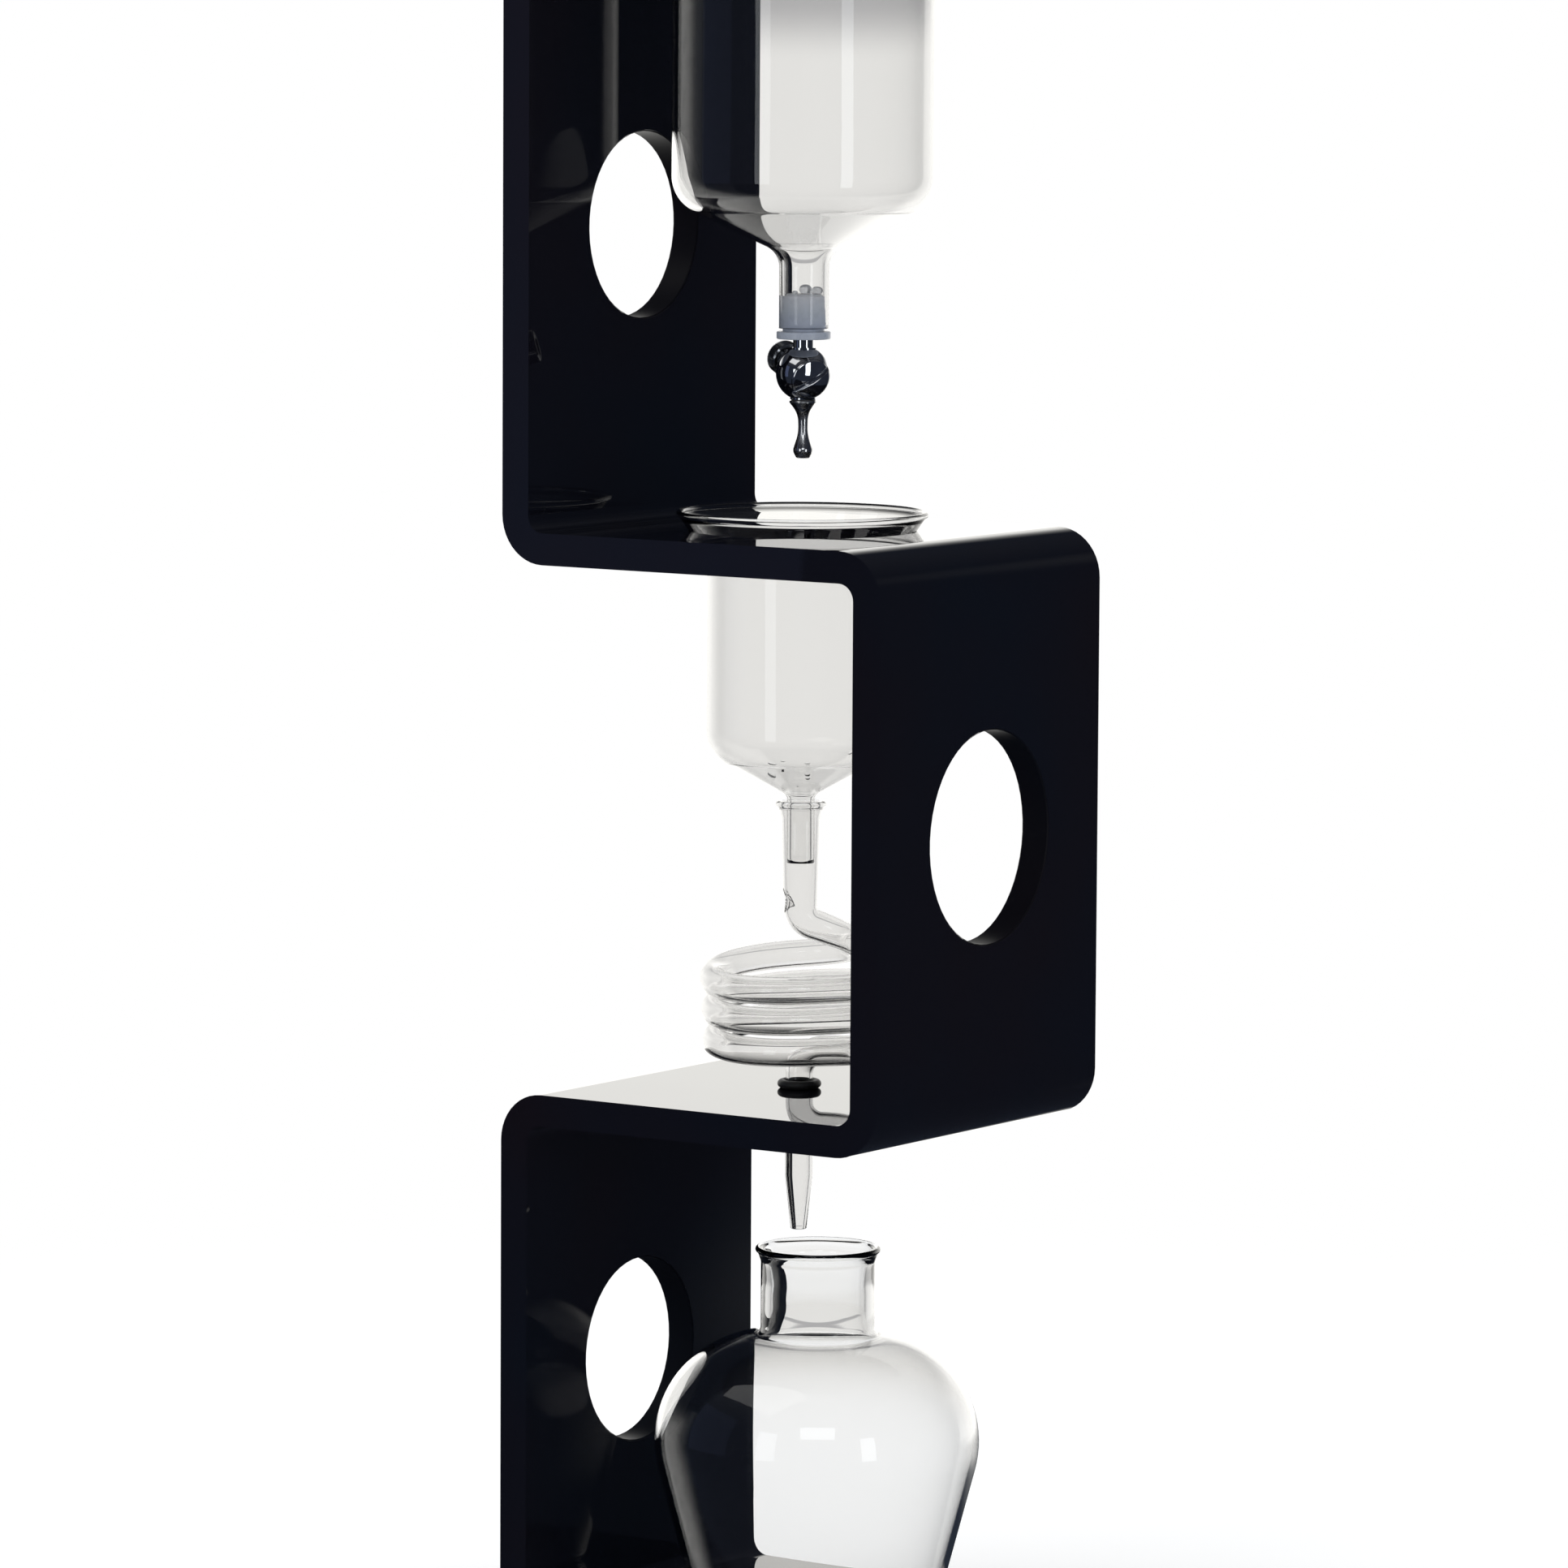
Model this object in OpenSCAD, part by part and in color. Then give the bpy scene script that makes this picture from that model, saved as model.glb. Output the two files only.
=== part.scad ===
// Cold drip coffee tower: one folded sheet carries a water vessel with a drip
// valve, a coffee chamber, a glass spiral and a decanter, one above the other.
// Sizes are in millimetres. The origin is on the ground under the base's middle,
// X runs along the shelves, Y across the sheet and Z up.

/* [Stand] */
// Width of the folded sheet
sheet_w = 150; // [144:1:170]
// Thickness of the folded sheet
sheet_t = 12; // [10:0.5:13]
// Length of the stand over its uprights
stand_l = 171; // [168:1:190]
// Inside radius of each fold
fold_r = 6.5; // [4:0.5:10]
// Clear height between the base and the lower shelf
lower_bay = 188; // [186:1:210]
// Clear height between the lower and the upper shelf
middle_bay = 200.5; // [198:0.5:204]
// Clear height between the upper and the top shelf
upper_bay = 225.5; // [222:0.5:240]
// Diameter of the round window in each left upright
small_window_d = 71; // [40:1:90]
// Diameter of the round window in the right upright
large_window_d = 80.5; // [40:0.5:100]
// Height of the rubber feet
foot_h = 3; // [2:0.5:6]

/* [Water vessel and lid] */
// Outside diameter of the water vessel's body
vessel_d = 100; // [90:1:102]
// Wall thickness of the water vessel
vessel_wall = 2.1; // [1.8:0.1:2.4]
// Outside diameter of the vessel's neck
neck_d = 18.8; // [18:0.2:20]
// Diameter of the lid
lid_d = 126; // [122:1:134]
// Thickness of the lid
lid_t = 4; // [3:0.5:6]

/* [Drip valve] */
// Diameter of the valve's ball
ball_d = 20.8; // [20.6:0.1:22]
// Diameter of the knurled wheel
wheel_d = 13.1; // [12:0.1:15]
// Number of knurls around the wheel
knurls = 60; // [24:1:72]
// Rise of the valve's cross axis towards the wheel, in degrees
cross_rise = 16.4; // [10:0.1:20]
// Heading of the valve's cross axis, in degrees from +X
cross_heading = 149.7; // [0:0.1:360]

/* [Coffee chamber] */
// Outside diameter of the chamber's body
chamber_d = 74; // [68:1:76]
// Wall thickness of the chamber
chamber_wall = 1.5; // [1.3:0.1:1.7]

/* [Glass spiral] */
// Outside diameter of the spiral
spiral_d = 77; // [66:1:90]
// Outside diameter of the spiral's tube
tube_d = 10.6; // [9.6:0.1:10.8]
// Height of one turn
turn_h = 11.7; // [11.4:0.1:12]
// Heading of the arm that leaves the socket, in degrees from +X
arm_heading = 34.3; // [0:0.1:360]
// Outside diameter of the vent hole in the socket's side
vent_d = 5.8; // [4.6:0.2:5.8]

/* [Decanter] */
// Greatest diameter of the decanter
decanter_d = 124; // [110:0.5:126]
// Wall thickness of the decanter
decanter_wall = 2.2; // [1.8:0.1:2.6]
// Distance of the decanter's axis from the drip axis, along X
decanter_x = 9; // [0:0.5:10]

/* [Hidden] */
$fn = 96;
eps = 0.01;          // overrun of every cut
run_gap = 0.05;      // radial play of the turning valve plug
seat_gap = 0.4;      // play between a glass cone and the hole that holds it
rest_gap = 0.1;      // play between stacked flat faces
arc_steps = 8;       // segments in each rounded corner of a profile

// Levels of the stand
half_l = stand_l / 2;
base_z = foot_h + sheet_t;
lower_z = base_z + lower_bay + sheet_t;
upper_z = lower_z + middle_bay + sheet_t;
top_z = upper_z + upper_bay + sheet_t;
fold_mid_r = fold_r + sheet_t / 2;
side_x = half_l - sheet_t / 2;
window_low_z = lower_z - 107.8;
window_right_z = lower_z + 101.6;
window_high_z = upper_z + 113.2;
edge_cut = 0.6;      // bevel on the rim of every window and shelf hole
foot_r = 8;
foot_in = 14;        // distance of each foot's centre from the base's edges

// Glass cones that rest in the shelf holes
flare = 0.67;        // radius gained per millimetre of height
cone_round = 8;      // rounding where a body leaves its cone
vessel_r = vessel_d / 2;
vessel_rim_r = vessel_r + 11;
vessel_rim_h = 6.5;
vessel_hole_r = vessel_rim_r - flare * vessel_rim_h - seat_gap;
vessel_shoulder_z = -113.5;
vessel_shoulder_round = 15;
vessel_neck_z = -133;
vessel_neck_round = 8.5;
vessel_h = 161.3;    // shelf top to the end of the neck
neck_r = neck_d / 2;
neck_bore_r = neck_r - vessel_wall;
chamber_r = chamber_d / 2;
chamber_rim_r = chamber_r + 10.3;
chamber_rim_h = 6.1;
chamber_hole_r = chamber_rim_r - flare * chamber_rim_h - seat_gap;
chamber_shoulder_z = -84.2;
chamber_shoulder_round = 13;
chamber_stem_z = -100.8;
chamber_stem_round = 2.2;
stem_r = 5.2;        // outside radius of the chamber's outlet stem
stem_h = 126.2;      // shelf top to the end of the stem
rim_bead = 1.5;      // radius of the fire-polished bead on the vessel's rim
thin_rim_bead = 1.2; // the same on the chamber's rim

// Lid, knob and screw
lid_z = top_z + vessel_rim_h + rim_bead + rest_gap;
lid_edge = 0.8;      // bevel round the lid's edge
lid_ring_r = 52;     // ring under the lid that centres it in the vessel
lid_ring_w = 3;
lid_ring_h = 5;
knob_h = 16;
knob_r = 10;
knob_low = 10;       // height at which the knob reaches its full width
knob_foot_r = 6;
knob_waist_h = 6;
knob_tap = 11;       // depth of the screw's hole in the knob
lid_screw_r = 2;
lid_screw_play = 0.15;
lid_screw_reach = 9; // how far the screw stands in the knob
lid_screw_head_r = 4;
lid_screw_head_h = 2;
lid_screw_slot = 0.8;

// Stopper and drip valve, with heights counted from the ball's centre
neck_end_z = top_z - vessel_h;
flange_h = 4;
flange_r = 10.2;
flange_gap = 1.2;    // from the end of the neck down to the flange
flange_bevel = 0.3;
stopper_waist_r = 7.9;
stopper_grip = 13;   // how far the stopper reaches into the neck
stopper_bevel = 0.8;
stopper_top_z = neck_end_z + stopper_grip;
ball_r = ball_d / 2;
valve_drop = 13;     // flange's underside to the ball's centre
valve_z = neck_end_z - flange_h - valve_drop;
inlet_r = 3.95;
inlet_top_r = 3;     // the inlet's slimmer part, inside the stopper
inlet_bevel = 0.6;
inlet_bore_r = 1.5;
inlet_seat = 5;      // bottom of the inlet's threaded hole above the centre
collar_r = 5.15;     // flat collar round the inlet on top of the ball
collar_z = 9.8;
flow_r = 1;
port_r = 5;          // flat boss under the ball
port_z = -9.7;
stub_r = 2.35;       // spout's threaded stub
stub_top = -6.4;
plug_r = 3.5;
plug_front = -3.8;
plug_back = 9;
shaft_r = 2.2;
shaft_end = 18.4;
boss_r = 4.6;
boss_end = 12.4;
seal_r = 0.5;        // section radius of the two plug seals
seal_places = [-2.95, 4];
washer_t = 0.6;
screw_head_r = 7.9;
screw_seat = -5.8;   // where the slotted screw's head meets the ball's recess
screw_edge = -6.6;
screw_dome = 2.6;
screw_thread_r = 4.8;
spring_pocket_r = 3.45;
spring_far = -7.4;
slot_w = 1.5;
slot_depth = 1.7;
slot_turn = 57.2;
spring_coils = 3;
spring_wire_r = 0.3;
spring_r = 2.8;
wheel_r = wheel_d / 2;
wheel_near = 14.2;
wheel_far = 19.6;
hub_r = 4.2;
hub_near = 12.7;
pin_place = 13.5;
pin_r = 0.7;
knurl_depth = 0.35;
wheel_bevel = 0.5;
wheel_edge = 0.9;    // width of the bevel beside the knurls
wheel_face_r = 2.4;  // width of the raised rim on the wheel's outer face
spout_seal_t = 0.5;
spout_waist_z = -15.2;
spout_waist_r = 2;
spout_slim_z = -22.5;
spout_slim_r = 1.75;
spout_bulb_z = -29;
spout_bulb_r = 3.6;
spout_end = -32;
spout_end_r = 2.4;

// Glass spiral, with heights counted from the lower shelf's top
tube_r = tube_d / 2;
tube_wall = 1.2;
helix_r = spiral_d / 2 - tube_r;
helix_top = 47.2;
helix_angle = 900;
helix_lean = 2.95;   // lean of the turns away from the arm, in degrees
side_fall = 0.55;    // extra share of the fall that the turns have at their two sides
arm_lead = 22;       // how firmly the arm keeps the elbow's direction
helix_lead = 30;     // how firmly both ends keep the spiral's direction
exit_z = 14.6;       // height at which the tube comes back to the drip axis
socket_lip_r = 8.9;
socket_lip_h = 108.4;
socket_lip_bead = 1.3;
socket_neck_r = 7.5;
socket_neck_h = 103;
socket_end = 70;     // bottom of the straight socket
elbow_r = 8;
elbow_bend = 70;
vent_h = 3.9;        // vent's centre above the straight socket's bottom
vent_reach = 3.4;    // from the axis to the mouth of the vent's inward lip
vent_mouth_r = 2.1;
vent_lip_t = 0.8;
drip_r = 5.2;
drip_bore_r = 3.9;
drip_taper_z = -34;
drip_tip_z = -53.6;
drip_tip_r = 3.1;
drip_hole_r = 6.2;
tube_sides = 14;
ring_wire_r = 1.6;
ring_grip = 0.05;    // how far the rubber ring is stretched over the glass
ring_r = drip_r + ring_wire_r - ring_grip;

// Decanter, with heights counted from its foot
standard_decanter_d = 124;
decanter_h = 138.8;
decanter_lip_r = 23.3;
decanter_lip_h = 4.6;
decanter_lip_bead = 1.3;
decanter_neck_r = 21.7;
decanter_neck_low = 106.5;
decanter_shoulder_r = 72.3;
decanter_shoulder_h = 99;
decanter_shoulder_round = 41;
decanter_foot_r = 45.9;
decanter_foot_round = 6;
decanter_neck_wall = 3.8; // the glass is thicker in the neck
decanter_swell = 8;       // height over which it thickens

// ---------- profile helpers ----------

function flat(p) = [p[0], p[1]];
function unit(v) = v / norm(v);
function signed(a) = a > 180 ? a - 360 : a < -180 ? a + 360 : a;

// Points of one rounded corner at b, between the neighbours a and c
function corner(a, b, c) =
    let (u = unit(flat(a) - flat(b)),
         v = unit(flat(c) - flat(b)),
         half = acos(u * v) / 2,
         centre = flat(b) + unit(u + v) * b[2] / sin(half),
         from = flat(b) + u * b[2] / tan(half) - centre,
         to = flat(b) + v * b[2] / tan(half) - centre,
         start = atan2(from[1], from[0]),
         sweep = signed(atan2(to[1], to[0]) - start))
    [for (i = [0:arc_steps])
        centre + b[2] * [cos(start + sweep * i / arc_steps), sin(start + sweep * i / arc_steps)]];

// A line through corners [radius, height, rounding]
function rounded(k) =
    [for (i = [0:len(k) - 1])
        each (k[i][2] == 0 ? [flat(k[i])] : corner(k[i - 1], k[i], k[i + 1]))];

// The same line moved sideways to the left of its direction, by w or by a w for each point
function beside(p, w) =
    [for (i = [0:len(p) - 1])
        let (t = unit(p[min(i + 1, len(p) - 1)] - p[max(i - 1, 0)]))
        p[i] + (is_list(w) ? w[i] : w) * [-t[1], t[0]]];

function reversed(p) = [for (i = [len(p) - 1:-1:0]) p[i]];

// A wall of thickness w on the left of the rounded line
module wall_profile(k, w) {
    line = rounded(k);
    polygon(concat(line, reversed(beside(line, w))));
}

// The rounded bead on a glass rim
module rim_ring(r, z, wire) {
    rotate_extrude() translate([r, z]) circle(r = wire, $fn = 32);
}

// ---------- stand ----------

// Corners of the sheet's middle line, from the free end of the base upwards
fold_line = [
    [half_l, base_z - sheet_t / 2],
    [-side_x, base_z - sheet_t / 2],
    [-side_x, lower_z - sheet_t / 2],
    [side_x, lower_z - sheet_t / 2],
    [side_x, upper_z - sheet_t / 2],
    [-side_x, upper_z - sheet_t / 2],
    [-side_x, top_z - sheet_t / 2],
    [half_l, top_z - sheet_t / 2]
];
last_fold = len(fold_line) - 2;

// One straight run of the sheet, shortened by the folds at its ends
module straight_run(i) {
    a = fold_line[i];
    b = fold_line[i + 1];
    way = unit(b - a);
    p = a + way * (i == 0 ? 0 : fold_mid_r);
    q = b - way * (i == last_fold ? 0 : fold_mid_r);
    side = [abs(way[1]), abs(way[0])] * sheet_t / 2;
    low = [min(p[0], q[0]), min(p[1], q[1])] - side;
    high = [max(p[0], q[0]), max(p[1], q[1])] + side;
    translate(low) square(high - low);
}

// One quarter-round fold of the sheet
module fold(i) {
    b = fold_line[i];
    into = unit(b - fold_line[i - 1]);
    out = unit(fold_line[i + 1] - b);
    centre = b + (out - into) * fold_mid_r;
    outer = fold_r + sheet_t;
    reach = (into - out) * outer;
    translate(centre) intersection() {
        difference() {
            circle(r = outer);
            circle(r = fold_r);
        }
        translate([min(0, reach[0]), min(0, reach[1])]) square(outer);
    }
}

module folded_sheet() {
    rotate([90, 0, 0]) linear_extrude(height = sheet_w, center = true) {
        for (i = [0:last_fold]) straight_run(i);
        for (i = [1:last_fold]) fold(i);
    }
}

// A round hole through a sheet whose faces are at 0 and -sheet_t
module sheet_hole(r) {
    translate([0, 0, -sheet_t - eps]) cylinder(r = r, h = sheet_t + 2 * eps);
    translate([0, 0, -edge_cut]) cylinder(r1 = r, r2 = r + edge_cut + eps, h = edge_cut + eps);
    translate([0, 0, -sheet_t - eps])
        cylinder(r1 = r + edge_cut + eps, r2 = r, h = edge_cut + eps);
}

module stand() {
    color([0.05, 0.05, 0.08]) difference() {
        folded_sheet();
        translate([0, 0, top_z]) sheet_hole(vessel_hole_r);
        translate([0, 0, upper_z]) sheet_hole(chamber_hole_r);
        translate([0, 0, lower_z]) sheet_hole(drip_hole_r);
        translate([-half_l, 0, window_low_z]) rotate([0, -90, 0]) sheet_hole(small_window_d / 2);
        translate([-half_l, 0, window_high_z]) rotate([0, -90, 0]) sheet_hole(small_window_d / 2);
        translate([half_l, 0, window_right_z]) rotate([0, 90, 0]) sheet_hole(large_window_d / 2);
    }
}

module feet() {
    foot_x = half_l - foot_in;
    foot_y = sheet_w / 2 - foot_in;
    color([0.1, 0.1, 0.1])
        for (x = [-foot_x, foot_x], y = [-foot_y, foot_y])
            translate([x, y, 0]) cylinder(r1 = foot_r - 1, r2 = foot_r, h = foot_h);
}

// ---------- water vessel ----------

module water_vessel() {
    color([0.8, 0.9, 0.92, 0.4]) translate([0, 0, top_z]) union() {
        rotate_extrude() wall_profile([
            [vessel_rim_r, vessel_rim_h, 0],
            [vessel_r, vessel_rim_h - (vessel_rim_r - vessel_r) / flare, cone_round],
            [vessel_r, vessel_shoulder_z, vessel_shoulder_round],
            [neck_r, vessel_neck_z, vessel_neck_round],
            [neck_r, -vessel_h, 0]
        ], -vessel_wall);
        rim_ring(vessel_rim_r - vessel_wall / 2, vessel_rim_h, rim_bead);
    }
}

module lid() {
    color([0.06, 0.06, 0.08]) translate([0, 0, lid_z]) difference() {
        rotate_extrude() polygon([
            [0, 0], [lid_ring_r - lid_ring_w, 0], [lid_ring_r - lid_ring_w, -lid_ring_h],
            [lid_ring_r, -lid_ring_h], [lid_ring_r, 0],
            [lid_d / 2 - lid_edge, 0], [lid_d / 2, lid_edge],
            [lid_d / 2, lid_t - lid_edge], [lid_d / 2 - lid_edge, lid_t], [0, lid_t]
        ]);
        translate([0, 0, -eps]) cylinder(r = lid_screw_r + lid_screw_play, h = lid_t + 2 * eps);
    }
}

module lid_knob() {
    color([0.8, 0.8, 0.82]) translate([0, 0, lid_z + lid_t]) difference() {
        rotate_extrude() polygon(concat([[0, 0]], rounded([
            [knob_foot_r, 0, 0],
            [knob_foot_r - 1, knob_waist_h, 3],
            [knob_r, knob_low, 1.2],
            [knob_r, knob_h, 3],
            [0, knob_h, 0]
        ])));
        translate([0, 0, -eps]) cylinder(r = lid_screw_r, h = knob_tap);
    }
}

module lid_screw() {
    color([0.7, 0.7, 0.72]) translate([0, 0, lid_z]) difference() {
        union() {
            cylinder(r = lid_screw_r, h = lid_t + lid_screw_reach);
            translate([0, 0, -lid_screw_head_h])
                cylinder(r1 = lid_screw_head_r - 1, r2 = lid_screw_head_r, h = lid_screw_head_h);
        }
        translate([-lid_screw_slot / 2, -lid_screw_head_r, -lid_screw_head_h - eps])
            cube([lid_screw_slot, 2 * lid_screw_head_r, lid_screw_head_h / 2]);
    }
}

// ---------- stopper and drip valve ----------

module stopper() {
    color([0.55, 0.57, 0.6]) difference() {
        rotate_extrude() polygon([
            [0, neck_end_z - flange_h], [flange_r - flange_bevel, neck_end_z - flange_h],
            [flange_r, neck_end_z - flange_h + flange_bevel],
            [flange_r, neck_end_z - flange_gap - flange_bevel],
            [flange_r - flange_bevel, neck_end_z - flange_gap],
            [stopper_waist_r, neck_end_z - flange_gap], [stopper_waist_r, neck_end_z],
            [neck_bore_r, neck_end_z], [neck_bore_r, stopper_top_z - stopper_bevel],
            [neck_bore_r - stopper_bevel, stopper_top_z], [0, stopper_top_z]
        ]);
        translate([0, 0, neck_end_z - flange_h - eps])
            cylinder(r = inlet_top_r, h = stopper_top_z - neck_end_z + flange_h + 2 * eps);
    }
}

// The stopper's flange rests on the shoulder of the stem
module inlet_stem() {
    low = valve_z + inlet_seat;
    shoulder = neck_end_z - flange_h;
    high = stopper_top_z;
    color([0.75, 0.76, 0.78]) rotate_extrude() polygon([
        [inlet_bore_r, low], [inlet_r, low], [inlet_r, shoulder], [inlet_top_r, shoulder],
        [inlet_top_r, high - inlet_bevel], [inlet_top_r - inlet_bevel, high],
        [inlet_bore_r, high]
    ]);
}

// Puts its children on the valve's cross axis, with +Z towards the wheel
module on_cross_axis() {
    translate([0, 0, valve_z]) rotate([0, 90 - cross_rise, cross_heading]) children();
}

module cross_cylinder(r, from, to) {
    translate([0, 0, from]) cylinder(r = r, h = to - from);
}

module valve_body() {
    color([0.75, 0.76, 0.78]) difference() {
        union() {
            translate([0, 0, valve_z]) sphere(r = ball_r);
            translate([0, 0, valve_z + port_z]) cylinder(r = port_r, h = -port_z);
            translate([0, 0, valve_z]) cylinder(r = collar_r, h = collar_z);
            on_cross_axis() cross_cylinder(boss_r, 0, boss_end);
        }
        translate([0, 0, valve_z + port_z - ball_r]) cylinder(r = port_r + 1, h = ball_r);
        translate([0, 0, valve_z + inlet_seat]) cylinder(r = inlet_r, h = ball_r);
        translate([0, 0, valve_z + stub_top - ball_r]) cylinder(r = stub_r, h = ball_r);
        translate([0, 0, valve_z + stub_top - eps])
            cylinder(r = flow_r, h = inlet_seat - stub_top + 2 * eps);
        on_cross_axis() {
            cross_cylinder(screw_head_r + run_gap, screw_seat - ball_r, screw_seat);
            cross_cylinder(screw_thread_r, screw_seat - eps, plug_front - washer_t);
            cross_cylinder(plug_r + run_gap, plug_front - washer_t - eps, plug_back + run_gap);
            cross_cylinder(shaft_r + run_gap, plug_back, boss_end + eps);
        }
    }
}

module valve_plug() {
    color([0.72, 0.6, 0.35]) difference() {
        on_cross_axis() difference() {
            union() {
                cross_cylinder(plug_r, plug_front, plug_back);
                cross_cylinder(shaft_r, plug_back - eps, shaft_end);
            }
            for (z = seal_places) rotate_extrude()
                translate([plug_r - 2 * seal_r, z - seal_r]) square([3 * seal_r, 2 * seal_r]);
            translate([0, 0, pin_place]) rotate([90, 0, 0])
                cylinder(r = pin_r, h = 4 * shaft_r, center = true);
        }
        translate([0, 0, valve_z - 2 * plug_r]) cylinder(r = flow_r, h = 4 * plug_r);
    }
}

module plug_seals() {
    color([0.1, 0.1, 0.1]) on_cross_axis()
        for (z = seal_places) rotate_extrude()
            translate([plug_r - seal_r, z]) circle(r = seal_r, $fn = 24);
}

module plug_washer() {
    color([0.8, 0.8, 0.8]) on_cross_axis() difference() {
        cross_cylinder(plug_r - 0.2, plug_front - washer_t, plug_front);
        cross_cylinder(1, plug_front - washer_t - eps, plug_front + eps);
    }
}

// ---------- tubes swept along a line of points ----------

function way_at(p, i) = unit(p[min(i + 1, len(p) - 1)] - p[max(i - 1, 0)]);
function square_to(n, t) = unit(n - (n * t) * t);

// Side vectors that follow the line without twisting
function side_vectors(p, first) =
    [for (i = 0, n = square_to(first, way_at(p, 0));
          i < len(p);
          i = i + 1, n = i < len(p) ? square_to(n, way_at(p, i)) : n) n];

function ring_points(p, t, n, r, sides) =
    let (m = cross(t, n))
    [for (k = [0:sides - 1]) p + r * (cos(360 * k / sides) * n + sin(360 * k / sides) * m)];

function skin_faces(first, rings, sides, inward) =
    [for (i = [0:rings - 2], k = [0:sides - 1])
        let (a = first + i * sides + k,
             b = first + i * sides + (k + 1) % sides)
        inward ? [a, b, b + sides, a + sides] : [a, a + sides, b + sides, b]];

// A pipe along p: ro and ri give the outer and inner radius at each point
module swept_pipe(p, ro, ri, sides) {
    n = side_vectors(p, [0, 1, 0.01]);
    count = len(p);
    inner = count * sides;
    last = (count - 1) * sides;
    points = concat(
        [for (i = [0:count - 1]) each ring_points(p[i], way_at(p, i), n[i], ro[i], sides)],
        [for (i = [0:count - 1]) each ring_points(p[i], way_at(p, i), n[i], ri[i], sides)]);
    mouths = [for (k = [0:sides - 1])
        let (j = (k + 1) % sides)
        each [[k, j, inner + j, inner + k],
              [last + j, last + k, inner + last + k, inner + last + j]]];
    polyhedron(points, concat(
        skin_faces(0, count, sides, false),
        skin_faces(inner, count, sides, true),
        mouths), convexity = 10);
}

// A solid rod along p
module swept_rod(p, r, sides) {
    n = side_vectors(p, [1, 0, 0.01]);
    count = len(p);
    polyhedron(
        [for (i = [0:count - 1]) each ring_points(p[i], way_at(p, i), n[i], r, sides)],
        concat(
            skin_faces(0, count, sides, false),
            [[for (k = [0:sides - 1]) k],
             [for (k = [sides - 1:-1:0]) (count - 1) * sides + k]]),
        convexity = 10);
}

module plug_spring() {
    steps = spring_coils * 16;
    low = spring_far + spring_wire_r;
    high = plug_front - washer_t - spring_wire_r;
    color([0.75, 0.75, 0.75]) on_cross_axis() swept_rod([for (i = [0:steps])
        let (a = 360 * spring_coils * i / steps)
        [spring_r * cos(a), spring_r * sin(a), low + (high - low) * i / steps]],
        spring_wire_r, 6);
}

module plug_screw() {
    dome_r = (pow(screw_head_r, 2) + pow(screw_dome, 2)) / (2 * screw_dome);
    dome_centre = screw_edge - screw_dome + dome_r;
    dome_half = asin(screw_head_r / dome_r);
    color([0.8, 0.81, 0.83]) on_cross_axis() difference() {
        union() {
            rotate_extrude() polygon(concat(
                [for (i = [0:12]) let (a = dome_half * i / 12)
                    [dome_r * sin(a), dome_centre - dome_r * cos(a)]],
                [[screw_head_r, screw_seat], [0, screw_seat]]));
            cross_cylinder(screw_thread_r, screw_seat - 1, plug_front - washer_t);
        }
        cross_cylinder(spring_pocket_r, spring_far, plug_front);
        rotate([0, 0, slot_turn])
            translate([-screw_head_r - 1, -slot_w / 2, screw_edge - screw_dome - 1])
                cube([2 * screw_head_r + 2, slot_w, slot_depth + 1]);
    }
}

module thumb_wheel() {
    color([0.78, 0.79, 0.8]) on_cross_axis() difference() {
        union() {
            translate([0, 0, wheel_near + wheel_bevel])
                linear_extrude(height = wheel_far - wheel_near - 2 * wheel_bevel)
                polygon([for (i = [0:2 * knurls - 1])
                    let (r = wheel_r - knurl_depth * (i % 2), a = 180 * i / knurls)
                    [r * cos(a), r * sin(a)]]);
            rotate_extrude() polygon([
                [0, hub_near], [hub_r, hub_near], [hub_r, wheel_near],
                [wheel_r - wheel_edge, wheel_near],
                [wheel_r - knurl_depth, wheel_near + wheel_bevel + eps],
                [wheel_r - knurl_depth, wheel_far - wheel_bevel - eps],
                [wheel_r - wheel_edge, wheel_far],
                [wheel_r - wheel_face_r, wheel_far],
                [wheel_r - wheel_face_r - 0.4, wheel_far - wheel_bevel],
                [0, wheel_far - wheel_bevel]
            ]);
        }
        cross_cylinder(shaft_r, hub_near - eps, shaft_end);
        translate([0, 0, pin_place]) rotate([90, 0, 0])
            cylinder(r = pin_r, h = 2 * hub_r + 2, center = true);
    }
}

module wheel_pin() {
    color([0.5, 0.5, 0.52]) on_cross_axis() translate([0, 0, pin_place]) rotate([90, 0, 0])
        cylinder(r = pin_r, h = 2 * hub_r - 0.4, center = true);
}

module spout_seal() {
    color([0.1, 0.1, 0.1]) translate([0, 0, valve_z + port_z - spout_seal_t]) difference() {
        cylinder(r = port_r - 0.4, h = spout_seal_t);
        translate([0, 0, -eps]) cylinder(r = stub_r, h = spout_seal_t + 2 * eps);
    }
}

module spout() {
    head = port_z - spout_seal_t;
    color([0.75, 0.76, 0.78]) translate([0, 0, valve_z]) rotate_extrude() polygon(concat(
        [[flow_r, stub_top], [stub_r, stub_top], [stub_r, head]],
        rounded([
            [port_r, head, 0],
            [port_r + 0.3, head - 0.7, 0.3],
            [spout_waist_r, spout_waist_z, 9],
            [spout_slim_r, spout_slim_z, 16],
            [spout_bulb_r, spout_bulb_z, 2.4],
            [spout_end_r, spout_end, 1],
            [flow_r, spout_end, 0]
        ])));
}

// ---------- coffee chamber ----------

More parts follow.
